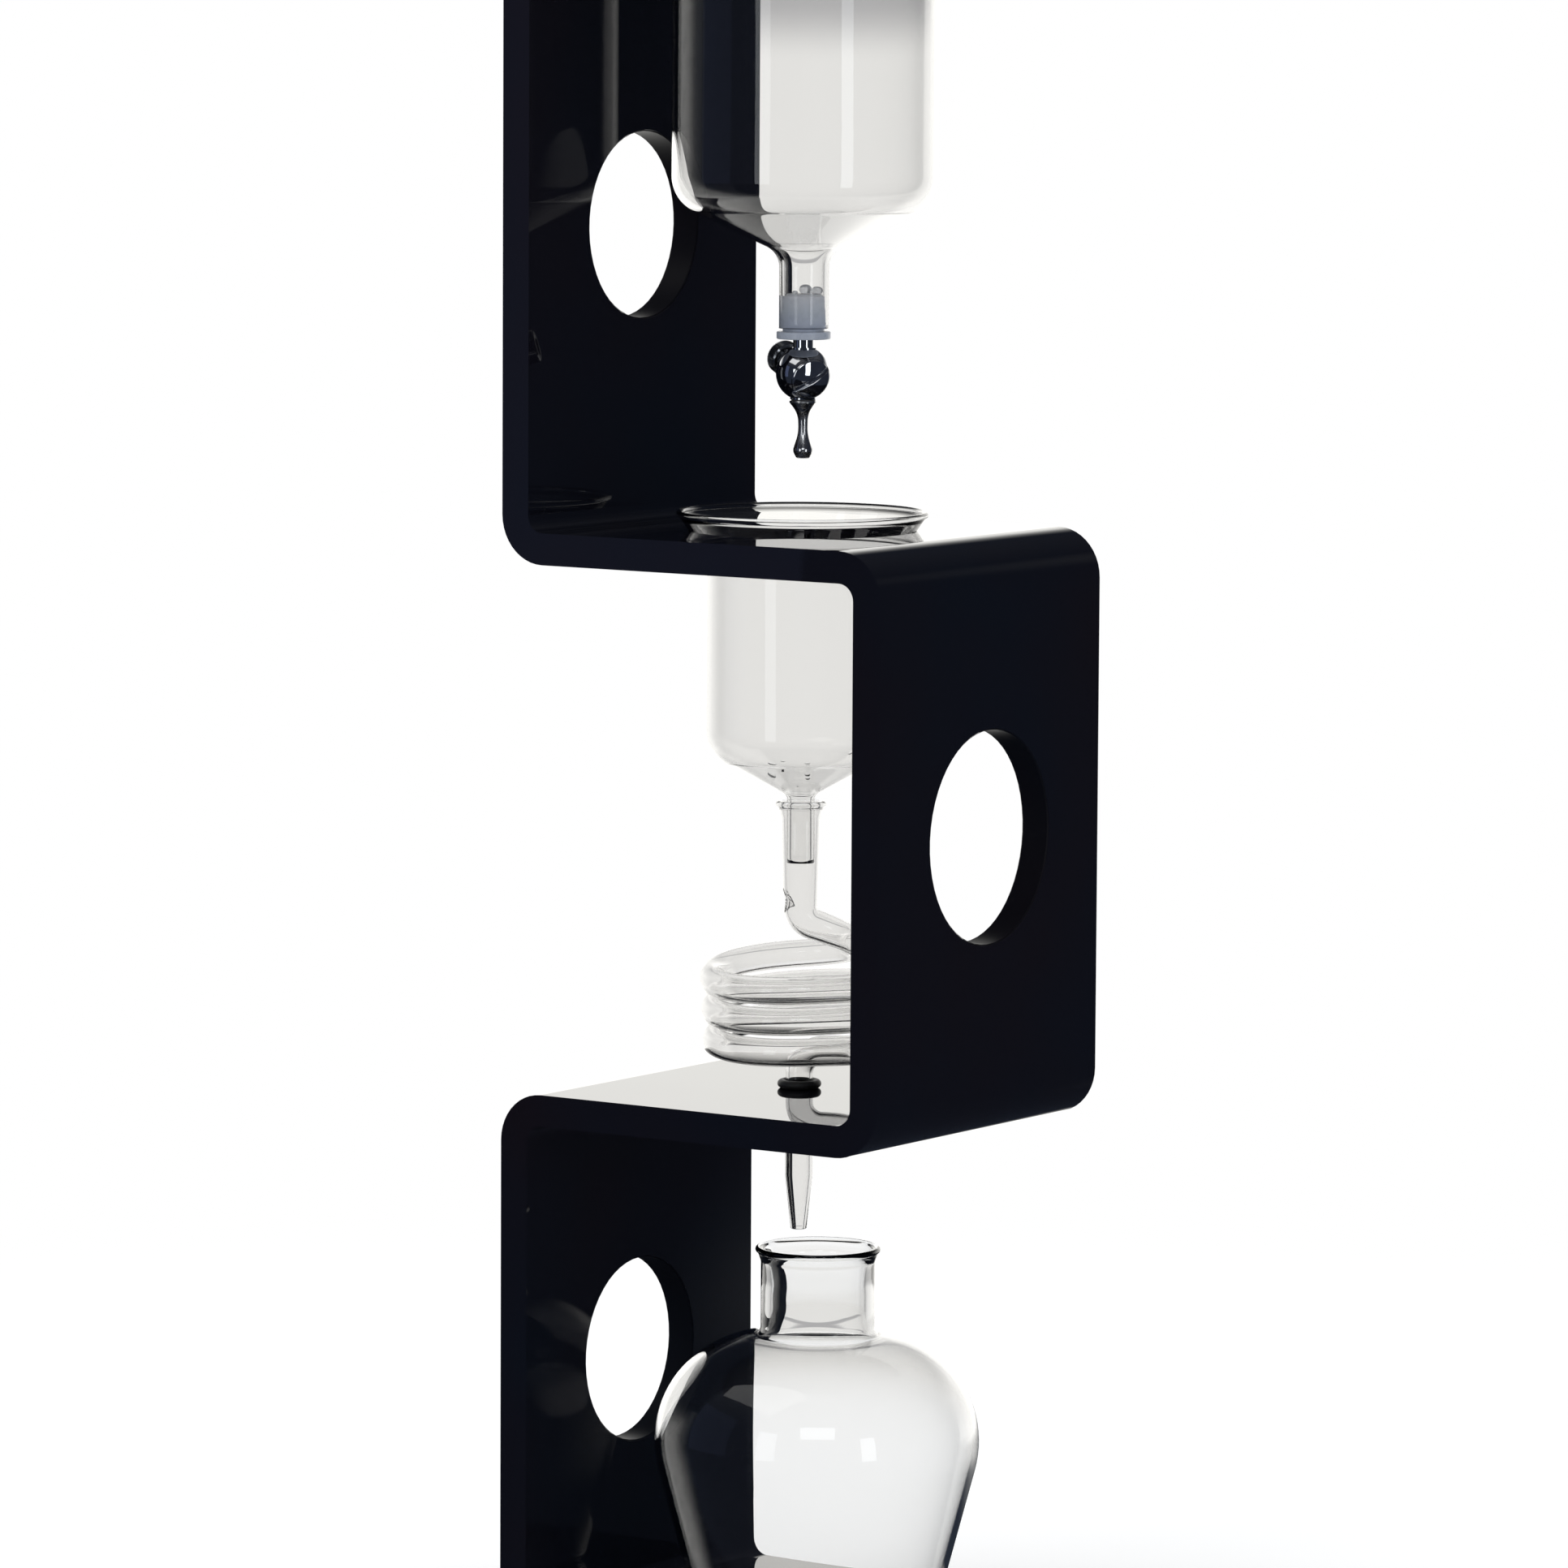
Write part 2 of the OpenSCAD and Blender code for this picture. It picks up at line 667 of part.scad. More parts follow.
module coffee_chamber() {
    color([0.8, 0.9, 0.92, 0.4]) translate([0, 0, upper_z]) union() {
        rotate_extrude() wall_profile([
            [chamber_rim_r, chamber_rim_h, 0],
            [chamber_r, chamber_rim_h - (chamber_rim_r - chamber_r) / flare, cone_round],
            [chamber_r, chamber_shoulder_z, chamber_shoulder_round],
            [stem_r, chamber_stem_z, chamber_stem_round],
            [stem_r, -stem_h, 0]
        ], -chamber_wall);
        rim_ring(chamber_rim_r - chamber_wall / 2, chamber_rim_h, thin_rim_bead);
    }
}

// ---------- glass spiral ----------

function bend(a, b, c, d, t) =
    pow(1 - t, 3) * a + 3 * pow(1 - t, 2) * t * b + 3 * (1 - t) * t * t * c + pow(t, 3) * d;

// The line is laid out with the arm along +X and turned to arm_heading later
helix_fall = turn_h / (2 * PI * helix_r) * (1 - side_fall);
helix_end = helix_top - turn_h * helix_angle / 360;
helix_mid = (helix_top + helix_end) / 2;
function leaned(p) = [
    p[0] - (p[2] - helix_mid) * tan(helix_lean),
    p[1],
    p[2] + p[0] * tan(helix_lean)];
arm_start = [elbow_r * (1 - cos(elbow_bend)), 0, socket_end - elbow_r * sin(elbow_bend)];
bend_in = [for (i = [0:5])
    let (a = elbow_bend * i / 5)
    [elbow_r * (1 - cos(a)), 0, socket_end - elbow_r * sin(a)]];
arm_in = [for (i = [1:8]) bend(
    arm_start,
    arm_start + arm_lead * [sin(elbow_bend), 0, -cos(elbow_bend)],
    leaned([helix_lead, helix_r, helix_top + helix_lead * helix_fall]),
    leaned([0, helix_r, helix_top]), i / 9)];
helix = [for (i = [0:60])
    let (a = 90 + helix_angle * i / 60)
    let (fallen = (a - 90) / 360 + side_fall * sin(2 * a) / (4 * PI))
    leaned([helix_r * cos(a), helix_r * sin(a), helix_top - turn_h * fallen])];
arm_out = [for (i = [1:8]) bend(
    leaned([0, -helix_r, helix_end]),
    leaned([helix_lead, -helix_r, helix_end - helix_lead * helix_fall]),
    [helix_lead, 0, exit_z + 0.6],
    [elbow_r + 1, 0, exit_z], i / 9)];
bend_out = [for (i = [0:6])
    let (a = 90 * i / 6)
    [(elbow_r + 1) * (1 - sin(a)), 0, exit_z - (elbow_r + 1) * (1 - cos(a))]];
spiral_line = concat([[0, 0, socket_end + 1]], bend_in, arm_in, helix, arm_out, bend_out,
                     [[0, 0, exit_z - elbow_r - 2.2]]);

// The pipe narrows from the socket to the spiral over its first points
narrow_points = 6;
function narrowing(i, wide, slim) =
    i >= narrow_points ? slim : wide + (slim - wide) * i / narrow_points;
last_point = len(spiral_line) - 1;
socket_skin = 6.5;
socket_skin_bore = 5.6;
pipe_outer = [for (i = [0:last_point])
    i >= last_point - 1 ? drip_r - 0.1 : narrowing(i, socket_skin, tube_r)];
pipe_inner = [for (i = [0:last_point])
    i >= last_point - 1 ? drip_bore_r + 0.25 : narrowing(i, socket_skin_bore, tube_r - tube_wall)];

// Least distance between turns, from points that are at least half a turn apart
skip = 14;
turn_gap = min([for (i = [0:last_point - skip - 1], j = [i + skip:last_point])
    norm(spiral_line[i] - spiral_line[j])]) - tube_d;
echo(least_gap_between_turns = turn_gap);

module socket_tube() {
    rotate_extrude() wall_profile([
        [socket_lip_r, socket_lip_h, 0],
        [socket_neck_r, socket_neck_h, 5],
        [socket_skin + 0.1, socket_end - 0.5, 0]
    ], -socket_lip_bead);
    rim_ring(socket_lip_r - 0.5, socket_lip_h, socket_lip_bead);
}

module drip_tube() {
    rotate_extrude() wall_profile([
        [drip_r, exit_z - elbow_r - 1, 0],
        [drip_r, drip_taper_z, 14],
        [drip_tip_r, drip_tip_z, 0]
    ], drip_bore_r - drip_r);
}

// A cone that narrows towards the socket's axis, on the side away from the arm
module vent_cone(mouth, past) {
    widening = (vent_d / 2 - vent_mouth_r) / (socket_skin - vent_reach);
    long = socket_skin - vent_reach + past;
    translate([0, 0, socket_end + vent_h]) rotate([0, -90, 0]) translate([0, 0, vent_reach])
        cylinder(r1 = mouth, r2 = mouth + widening * long, h = long);
}

// The edge of the vent hole, bent inwards
module vent_lip() {
    intersection() {
        vent_cone(vent_mouth_r + vent_lip_t, 0);
        translate([0, 0, socket_end]) cylinder(r = socket_skin, h = 2 * vent_h);
    }
}

module glass_spiral() {
    color([0.8, 0.9, 0.92, 0.4]) translate([0, 0, lower_z]) rotate([0, 0, arm_heading]) union() {
        difference() {
            union() {
                socket_tube();
                vent_lip();
            }
            translate([eps, 0, 0]) vent_cone(vent_mouth_r, 1);
        }
        swept_pipe(spiral_line, pipe_outer, pipe_inner, tube_sides);
        drip_tube();
    }
}

module outlet_ring() {
    color([0.08, 0.08, 0.08]) translate([0, 0, lower_z + ring_wire_r + rest_gap])
        rotate_extrude() translate([ring_r, 0]) circle(r = ring_wire_r, $fn = 32);
}

// ---------- decanter ----------

// Share of the neck's extra thickness that the wall has at a height
function neck_share(h) =
    min(1, max(0, (h - decanter_neck_low) / decanter_swell + 0.6))
    * min(1, max(0, (decanter_h - h) / decanter_lip_h));

module decanter() {
    belly = (decanter_d - standard_decanter_d) / 2;
    outer = rounded([
        [decanter_lip_r, decanter_h, 0],
        [decanter_neck_r, decanter_h - decanter_lip_h, 3],
        [decanter_neck_r, decanter_neck_low, 3],
        [decanter_shoulder_r + belly, decanter_shoulder_h, decanter_shoulder_round],
        [decanter_foot_r + belly, 0, decanter_foot_round],
        [0, 0, 0]
    ]);
    wall = [for (p = outer)
        decanter_wall + (decanter_neck_wall - decanter_wall) * neck_share(p[1])];
    color([0.8, 0.9, 0.92, 0.4]) translate([decanter_x, 0, base_z + rest_gap]) union() {
        rotate_extrude() polygon(concat(outer, reversed(beside(outer, -wall))));
        rim_ring(decanter_lip_r - decanter_lip_bead / 2, decanter_h, decanter_lip_bead);
    }
}

stand();
feet();
water_vessel();
lid();
lid_knob();
lid_screw();
stopper();
inlet_stem();
valve_body();
valve_plug();
plug_seals();
plug_washer();
plug_spring();
plug_screw();
thumb_wheel();
wheel_pin();
spout_seal();
spout();
coffee_chamber();
glass_spiral();
outlet_ring();
decanter();
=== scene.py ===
import bpy
import bmesh
import math
import random
from mathutils import Matrix, Vector


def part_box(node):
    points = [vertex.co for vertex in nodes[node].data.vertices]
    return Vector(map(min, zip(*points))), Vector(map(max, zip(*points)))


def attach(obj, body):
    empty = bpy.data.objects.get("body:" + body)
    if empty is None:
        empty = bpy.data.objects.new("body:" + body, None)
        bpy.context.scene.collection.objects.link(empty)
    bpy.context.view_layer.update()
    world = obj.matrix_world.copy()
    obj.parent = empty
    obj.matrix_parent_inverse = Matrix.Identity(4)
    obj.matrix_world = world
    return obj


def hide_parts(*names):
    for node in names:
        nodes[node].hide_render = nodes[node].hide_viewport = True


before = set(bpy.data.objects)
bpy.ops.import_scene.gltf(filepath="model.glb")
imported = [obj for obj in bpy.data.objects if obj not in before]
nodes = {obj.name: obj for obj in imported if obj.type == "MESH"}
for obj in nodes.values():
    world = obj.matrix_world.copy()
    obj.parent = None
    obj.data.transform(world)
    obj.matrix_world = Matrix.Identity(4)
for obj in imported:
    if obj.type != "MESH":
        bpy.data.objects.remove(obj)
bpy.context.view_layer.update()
scene = bpy.context.scene
MM = 0.001

# ---------- camera, at the photograph's viewing angle ----------

CAMERA_PLACE = Vector((1.82261, -2.68089, 0.67605))
VIEW_HEADING = math.radians(34.324)   # turn of the view to the left of +Y
VIEW_DOWN = math.radians(6.075)
VIEW_ROLL = math.radians(0.318)
LENS_MM = 197.64

forward = Vector((-math.sin(VIEW_HEADING) * math.cos(VIEW_DOWN),
                  math.cos(VIEW_HEADING) * math.cos(VIEW_DOWN),
                  -math.sin(VIEW_DOWN)))
level_right = Vector((math.cos(VIEW_HEADING), math.sin(VIEW_HEADING), 0.0))
level_up = level_right.cross(forward)
right = math.cos(VIEW_ROLL) * level_right + math.sin(VIEW_ROLL) * level_up
up = -math.sin(VIEW_ROLL) * level_right + math.cos(VIEW_ROLL) * level_up
view_ahead = Vector((forward.x, forward.y, 0.0)).normalized()   # the view's level heading

camera_data = bpy.data.cameras.new("camera")
camera_data.lens = LENS_MM
camera_data.sensor_width = 36.0
camera_data.clip_start = 0.1
camera_data.clip_end = 100.0
camera = bpy.data.objects.new("camera", camera_data)
camera.matrix_world = Matrix.Translation(CAMERA_PLACE) @ Matrix(
    (right, up, -forward)).transposed().to_4x4()
scene.collection.objects.link(camera)
scene.camera = camera


# ---------- materials ----------

def node_tree(material):
    material.use_nodes = True
    material.node_tree.nodes.clear()
    return material.node_tree


def add_node(tree, kind, **values):
    """A node with its sockets (by name) and properties set."""
    node = tree.nodes.new(kind)
    for name, value in values.items():
        if name in node.inputs:
            node.inputs[name].default_value = value
        else:
            setattr(node, name, value)
    return node


def own_place(tree):
    """The point in the object's own space, in metres."""
    return tree.nodes.new("ShaderNodeTexCoord").outputs["Object"]


def split_axes(tree, vector):
    """The X, Y and Z sockets of a vector."""
    split = tree.nodes.new("ShaderNodeSeparateXYZ")
    tree.links.new(vector, split.inputs[0])
    return split.outputs


def light_path(tree):
    return tree.nodes.new("ShaderNodeLightPath").outputs


def noise(tree, scale, detail=3.0, stretch=(1.0, 1.0, 1.0)):
    """Noise in the object's own space; scale counts features per metre."""
    mapping = tree.nodes.new("ShaderNodeMapping")
    mapping.inputs["Scale"].default_value = stretch
    texture = tree.nodes.new("ShaderNodeTexNoise")
    texture.inputs["Scale"].default_value = scale
    texture.inputs["Detail"].default_value = detail
    tree.links.new(own_place(tree), mapping.inputs["Vector"])
    tree.links.new(mapping.outputs["Vector"], texture.inputs["Vector"])
    return texture.outputs["Fac"]


def remap(tree, source, low, high, to_low, to_high):
    node = tree.nodes.new("ShaderNodeMapRange")
    node.inputs["From Min"].default_value = low
    node.inputs["From Max"].default_value = high
    node.inputs["To Min"].default_value = to_low
    node.inputs["To Max"].default_value = to_high
    tree.links.new(source, node.inputs["Value"])
    return node.outputs["Result"]


def faded(tree, value, begin, end):
    """0 at begin, 1 at end, and a smooth change between them."""
    node = tree.nodes.new("ShaderNodeMapRange")
    node.interpolation_type = "SMOOTHSTEP"
    node.inputs["From Min"].default_value = begin
    node.inputs["From Max"].default_value = end
    tree.links.new(value, node.inputs["Value"])
    return node.outputs["Result"]


def colour_between(tree, factor, first, second):
    """A mix of two colours, each a socket or plain numbers."""
    node = tree.nodes.new("ShaderNodeMix")
    node.data_type = "RGBA"
    tree.links.new(factor, node.inputs[0])
    for socket, colour in ((node.inputs[6], first), (node.inputs[7], second)):
        if isinstance(colour, tuple):
            socket.default_value = (*colour, 1.0)
        else:
            tree.links.new(colour, socket)
    return node.outputs[2]


def bump(tree, height, distance, strength=1.0, below=None):
    node = tree.nodes.new("ShaderNodeBump")
    node.inputs["Strength"].default_value = strength
    node.inputs["Distance"].default_value = distance
    tree.links.new(height, node.inputs["Height"])
    if below is not None:
        tree.links.new(below, node.inputs["Normal"])
    return node.outputs["Normal"]


def math_node(tree, operation, first, second):
    """A Math node fed by sockets or plain numbers; returns its output."""
    node = add_node(tree, "ShaderNodeMath", operation=operation)
    for socket, value in zip(node.inputs, (first, second)):
        if isinstance(value, (int, float)):
            socket.default_value = value
        else:
            tree.links.new(value, socket)
    return node.outputs[0]


def vector_node(tree, operation, first, second=None):
    """A Vector Math node; returns its vector, or its number for a length or dot product."""
    node = add_node(tree, "ShaderNodeVectorMath", operation=operation)
    tree.links.new(first, node.inputs[0])
    if second is not None:
        node.inputs[1].default_value = second
    return node.outputs["Value" if operation in ("DOT_PRODUCT", "LENGTH") else "Vector"]


def shader_between(tree, factor, first, second):
    node = tree.nodes.new("ShaderNodeMixShader")
    for socket, value in zip(node.inputs, (factor, first, second)):
        tree.links.new(value, socket)
    return node.outputs[0]


def surface(name, **sockets):
    """A material with one Principled shader; returns material, tree and shader."""
    material = bpy.data.materials.new(name)
    tree = node_tree(material)
    shader = tree.nodes.new("ShaderNodeBsdfPrincipled")
    output = tree.nodes.new("ShaderNodeOutputMaterial")
    tree.links.new(shader.outputs["BSDF"], output.inputs["Surface"])
    for socket, value in sockets.items():
        shader.inputs[socket.replace("_", " ")].default_value = value
    return material, tree, shader


WINDOWS = ((0.1072, 0.0355), (0.3166, 0.04025), (0.5407, 0.0355))   # height, radius
WINDOW_SLACK = 0.0004                # how far beyond its radius a window's wall still counts
UPRIGHT_X = 0.070                    # the uprights begin this far from the middle
SAWN_ROUGHNESS, SAWN_SPECULAR, SHEET_SPECULAR = 0.42, 0.08, 0.5


def window_walls(tree):
    """1 on the sawn inner walls of the three round windows, which are duller than the sheet."""
    x, y, z = split_axes(tree, own_place(tree))
    y_squared = math_node(tree, "MULTIPLY", y, y)
    inside = 0.0
    for height, radius in WINDOWS:
        rise = math_node(tree, "SUBTRACT", z, height)
        total = math_node(tree, "ADD", math_node(tree, "MULTIPLY", rise, rise), y_squared)
        hit = math_node(tree, "LESS_THAN", total, (radius + WINDOW_SLACK) ** 2)
        inside = math_node(tree, "MAXIMUM", inside, hit)
    upright = math_node(tree, "GREATER_THAN", math_node(tree, "MULTIPLY", x, x), UPRIGHT_X ** 2)
    return math_node(tree, "MULTIPLY", inside, upright)


def acrylic_material():
    material, tree, shader = surface("black_acrylic", IOR=1.49)
    # The base colour drifts at random between a navy and a reddish black. This is partly the
    # sheet's own dark tone and partly painted reflection of the blue and brown tints that show on
    # it.
    tint = remap(tree, noise(tree, 9.0, 2.0), 0.35, 0.7, 0.0, 1.0)
    tree.links.new(colour_between(tree, tint, (0.0030, 0.0042, 0.0078), (0.0048, 0.0036, 0.0056)),
                   shader.inputs["Base Color"])
    smudge = remap(tree, noise(tree, 40.0, 5.0), 0.5, 0.85, 0.012, 0.06)
    cut = window_walls(tree)
    rough = tree.nodes.new("ShaderNodeMix")
    tree.links.new(cut, rough.inputs[0])
    tree.links.new(smudge, rough.inputs[2])
    rough.inputs[3].default_value = SAWN_ROUGHNESS
    tree.links.new(rough.outputs[0], shader.inputs["Roughness"])
    tree.links.new(remap(tree, cut, 0.0, 1.0, SHEET_SPECULAR, SAWN_SPECULAR),
                   shader.inputs["Specular IOR Level"])
    wave = bump(tree, noise(tree, 14.0, 1.0), 0.00012, 0.3)
    tree.links.new(bump(tree, noise(tree, 900.0, 2.0), 0.000002, 0.3, wave),
                   shader.inputs["Normal"])
    return material


def glass_material(name, tint, density, wave_scale, wave_height):
    material, tree, shader = surface(
        name, Base_Color=(0.996, 0.994, 0.990, 1.0), IOR=1.47, Transmission_Weight=1.0)
    film = remap(tree, noise(tree, 60.0, 4.0), 0.55, 0.85, 0.0, 0.012)
    tree.links.new(film, shader.inputs["Roughness"])
    tree.links.new(bump(tree, noise(tree, wave_scale, 1.0, (1.0, 1.0, 0.45)), wave_height, 1.0),
                   shader.inputs["Normal"])
    volume = tree.nodes.new("ShaderNodeVolumeAbsorption")
    volume.inputs["Color"].default_value = (*tint, 1.0)
    volume.inputs["Density"].default_value = density
    tree.links.new(volume.outputs["Volume"], tree.nodes["Material Output"].inputs["Volume"])
    return material


def metal_material(name, colour, low, high, grain=600.0, stretch=(1.0, 1.0, 1.0)):
    material, tree, shader = surface(name, Metallic=1.0)
    stain = remap(tree, noise(tree, 130.0, 4.0), 0.35, 0.75, 0.0, 1.0)
    darker = tuple(c * 0.72 for c in colour)
    tree.links.new(colour_between(tree, stain, colour, darker), shader.inputs["Base Color"])
    tree.links.new(remap(tree, noise(tree, 260.0, 5.0), 0.35, 0.75, low, high),
                   shader.inputs["Roughness"])
    tree.links.new(bump(tree, noise(tree, grain, 3.0, stretch), 0.000002, 0.25),
                   shader.inputs["Normal"])
    return material


def rubber_material(name, colour, rough):
    material, tree, shader = surface(name, IOR=1.5)
    dust = remap(tree, noise(tree, 220.0, 5.0), 0.5, 0.85, 0.0, 1.0)
    tree.links.new(colour_between(tree, dust, colour, tuple(c * 1.9 + 0.01 for c in colour)),
                   shader.inputs["Base Color"])
    tree.links.new(remap(tree, noise(tree, 350.0, 4.0), 0.3, 0.8, rough, rough + 0.2),
                   shader.inputs["Roughness"])
    tree.links.new(bump(tree, noise(tree, 1500.0, 3.0), 0.00003, 0.4), shader.inputs["Normal"])
    return material


# The stopper's colour from its foot to its top, as (share of the height, colour): painted shade
# at the foot and painted light towards the top
STOPPER_PAINTED_SHADING = ((0.18, (0.31, 0.34, 0.40)), (0.28, (0.46, 0.52, 0.67)),
                   (0.60, (0.58, 0.64, 0.74)), (0.95, (0.71, 0.74, 0.82)))


def silicone_material():
    material, tree, shader = surface("translucent_silicone", IOR=1.43,
                                     Subsurface_Weight=0.35, Subsurface_Scale=0.004)
    shader.inputs["Subsurface Radius"].default_value = (1.0, 1.0, 1.0)
    # Painted shade and light: the ramp darkens the silicone towards its foot and lightens it
    # towards its top, instead of one even grey.
    low, high = (corner.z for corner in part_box("stopper"))
    rise = remap(tree, split_axes(tree, own_place(tree))["Z"], low, high, 0.0, 1.0)
    cloud = remap(tree, noise(tree, 90.0, 2.0), 0.3, 0.75, -0.05, 0.05)
    shade = math_node(tree, "ADD", rise, cloud)
    ramp = tree.nodes.new("ShaderNodeValToRGB")
    stops = ramp.color_ramp.elements
    for stop, (position, colour) in zip(stops, (STOPPER_PAINTED_SHADING[0], STOPPER_PAINTED_SHADING[-1])):
        stop.position, stop.color = position, (*colour, 1.0)
    for position, colour in STOPPER_PAINTED_SHADING[1:-1]:
        stops.new(position).color = (*colour, 1.0)
    tree.links.new(shade, ramp.inputs["Fac"])
    tree.links.new(ramp.outputs["Color"], shader.inputs["Base Color"])
    tree.links.new(remap(tree, noise(tree, 300.0, 3.0), 0.3, 0.8, 0.22, 0.42),
                   shader.inputs["Roughness"])
    tree.links.new(bump(tree, noise(tree, 700.0, 3.0), 0.00002, 0.5), shader.inputs["Normal"])
    return material


acrylic = acrylic_material()
vessel_glass = glass_material("borosilicate_glass", (0.40, 0.46, 0.42), 7.0, 22.0, 0.00002)
spiral_glass = glass_material("spiral_glass", (0.46, 0.47, 0.44), 6.0, 40.0, 0.000012)
chrome = metal_material("polished_chrome", (0.74, 0.75, 0.78), 0.03, 0.09)
# A darker, duller copy of the polished chrome for the thumb wheel; its darker colour is painted
# shade.
dark_chrome = metal_material("chrome_with_painted_shade", (0.30, 0.31, 0.33), 0.12, 0.25)
cast_chrome = metal_material("cast_chrome", (0.62, 0.62, 0.63), 0.10, 0.34, 900.0)
steel = metal_material("steel", (0.62, 0.62, 0.63), 0.18, 0.35)
brass = metal_material("brass_plug", (0.78, 0.62, 0.34), 0.2, 0.36)
black_rubber = rubber_material("black_rubber", (0.012, 0.012, 0.013), 0.42)
foot_rubber = rubber_material("foot_rubber", (0.02, 0.02, 0.02), 0.6)
silicone = silicone_material()

water, water_tree, water_shader = surface(
    "water", Base_Color=(1.0, 1.0, 1.0, 1.0), IOR=1.333, Transmission_Weight=1.0, Roughness=0.0)
water_tree.links.new(bump(water_tree, noise(water_tree, 300.0, 1.0), 0.00005, 0.5),
                     water_shader.inputs["Normal"])

cloudy_water = surface(
    "cloudy_water", Base_Color=(0.90, 0.92, 0.96, 1.0), IOR=1.36, Transmission_Weight=0.6,
    Roughness=0.06)[0]

CAD_FINISHES = {
    "stand": acrylic, "lid": acrylic, "feet": foot_rubber, "lid_knob": chrome,
    "lid_screw": steel, "stopper": silicone, "inlet_stem": chrome, "valve_body": chrome,
    "valve_plug": brass, "plug_seals": black_rubber, "plug_washer": steel,
    "plug_spring": steel, "plug_screw": chrome, "thumb_wheel": dark_chrome, "wheel_pin": steel,
    "spout_seal": black_rubber, "spout": cast_chrome, "outlet_ring": black_rubber,
}


def shade_by_angle(obj, degrees):
    """Smooth faces, with sharp edges where two faces meet at a steep angle."""
    mesh = bmesh.new()
    mesh.from_mesh(obj.data)
    for face in mesh.faces:
        face.smooth = True
    for edge in mesh.edges:
        steep = len(edge.link_faces) != 2 or edge.calc_face_angle(0.0) > math.radians(degrees)
        edge.smooth = not steep
    mesh.to_mesh(obj.data)
    mesh.free()


def fine_edge(obj, width_mm, degrees=50.0, segments=2):
    """The small round-over of a polished or moulded edge."""
    bevel = obj.modifiers.new("fine_edge", "BEVEL")
    bevel.width = width_mm * MM
    bevel.segments = segments
    bevel.limit_method = "ANGLE"
    bevel.angle_limit = math.radians(degrees)
    bevel.harden_normals = True
    bevel.miter_outer = "MITER_ARC"


for name, finish in CAD_FINISHES.items():
    nodes[name].data.materials.clear()
    nodes[name].data.materials.append(finish)


# ---------- glass profiles and sweeps ----------

def rounded_line(corners, steps):
    """A line through corners (radius, height, rounding), each rounded by an arc."""
    line = []
    for i, (x, y, rounding) in enumerate(corners):
        here = Vector((x, y))
        if rounding == 0:
            line.append(here)
            continue
        to_before = (Vector(corners[i - 1][:2]) - here).normalized()
        to_after = (Vector(corners[i + 1][:2]) - here).normalized()
        half = math.acos(max(-1.0, min(1.0, to_before.dot(to_after)))) / 2
        centre = here + (to_before + to_after).normalized() * rounding / math.sin(half)
        start = here + to_before * rounding / math.tan(half) - centre
        end = here + to_after * rounding / math.tan(half) - centre
        first = math.atan2(start.y, start.x)
        sweep = math.atan2(end.y, end.x) - first
        sweep = (sweep + math.pi) % (2 * math.pi) - math.pi
        for k in range(steps + 1):
            angle = first + sweep * k / steps
            line.append(centre + rounding * Vector((math.cos(angle), math.sin(angle))))
    return line


def evenly(line, step):
    """The same line with points no further apart than step."""
    dense = [line[0]]
    for a, b in zip(line, line[1:]):
        count = max(1, math.ceil((b - a).length / step))
        dense += [a.lerp(b, k / count) for k in range(1, count + 1)]
    return dense


def beside(line, distance):
    """The line moved to its left by distance, a number or a function of the height."""
    moved = []
    last = len(line) - 1
    for i, point in enumerate(line):
        way = (line[min(i + 1, last)] - line[max(i - 1, 0)]).normalized()
        gap = distance(point.y) if callable(distance) else distance
        moved.append(point + gap * Vector((-way.y, way.x)))
    return moved


def arc_between(start, end, bulge, steps=10):
    """Points strictly between start and end, on a curve that bulges to the left by bulge."""
    way = end - start
    side = Vector((-way.y, way.x)).normalized() * bulge
    return [start + way * (k / steps) + side * math.sin(math.pi * k / steps)
            for k in range(1, steps)]


def bead_line(centre, radius, enter, leave, steps=26):
    """The top of a rim bead, from the wall's inner line over to its outer line."""
    first = math.atan2(enter.y - centre.y, enter.x - centre.x)
    sweep = (first - math.atan2(leave.y - centre.y, leave.x - centre.x)) % (2 * math.pi)
    return [centre + radius * Vector((math.cos(first - sweep * k / steps),
                                      math.sin(first - sweep * k / steps)))
            for k in range(steps + 1)]


def new_mesh(name, vertices, faces, material):
    mesh = bpy.data.meshes.new(name)
    mesh.from_pydata([tuple(v) for v in vertices], [], faces)
    mesh.materials.append(material)
    mesh.polygons.foreach_set("use_smooth", [True] * len(mesh.polygons))
    mesh.update()
    piece = bpy.data.objects.new(name, mesh)
    scene.collection.objects.link(piece)
    return piece


def close_mesh(piece, weld=True, place=None):
    """Welds doubled points, turns all faces outwards and moves the mesh to its place."""
    mesh = bmesh.new()
    mesh.from_mesh(piece.data)
    if weld:
        bmesh.ops.remove_doubles(mesh, verts=mesh.verts, dist=1e-7)
        bmesh.ops.dissolve_degenerate(mesh, edges=mesh.edges, dist=1e-8)
    bmesh.ops.recalc_face_normals(mesh, faces=mesh.faces)
    if place is not None:
        mesh.transform(place)
    mesh.to_mesh(piece.data)
    mesh.free()


def turned(name, profile, material, around=(0.0, 0.0), sides=144, uneven=0.0):
    """A closed profile in mm turned about Z; uneven adds the slow waver of blown glass."""
    vertices, faces = [], []
    count = len(profile)
    for s in range(sides):
        angle = 2 * math.pi * s / sides
        for p in profile:
            waver = uneven * math.sin(2 * angle + p.y * 0.03) * math.sin(p.y * 0.021 + angle)
            radius = (p.x + (waver if p.x > 2.0 else 0.0)) * MM
            vertices.append((around[0] * MM + radius * math.cos(angle),
                             around[1] * MM + radius * math.sin(angle), p.y * MM))
    for s in range(sides):
        a, b = s * count, (s + 1) % sides * count
        for k in range(count):
            m = (k + 1) % count
            faces.append((a + k, b + k, b + m, a + m))
    piece = new_mesh(name, vertices, faces, material)
    close_mesh(piece)
    return piece


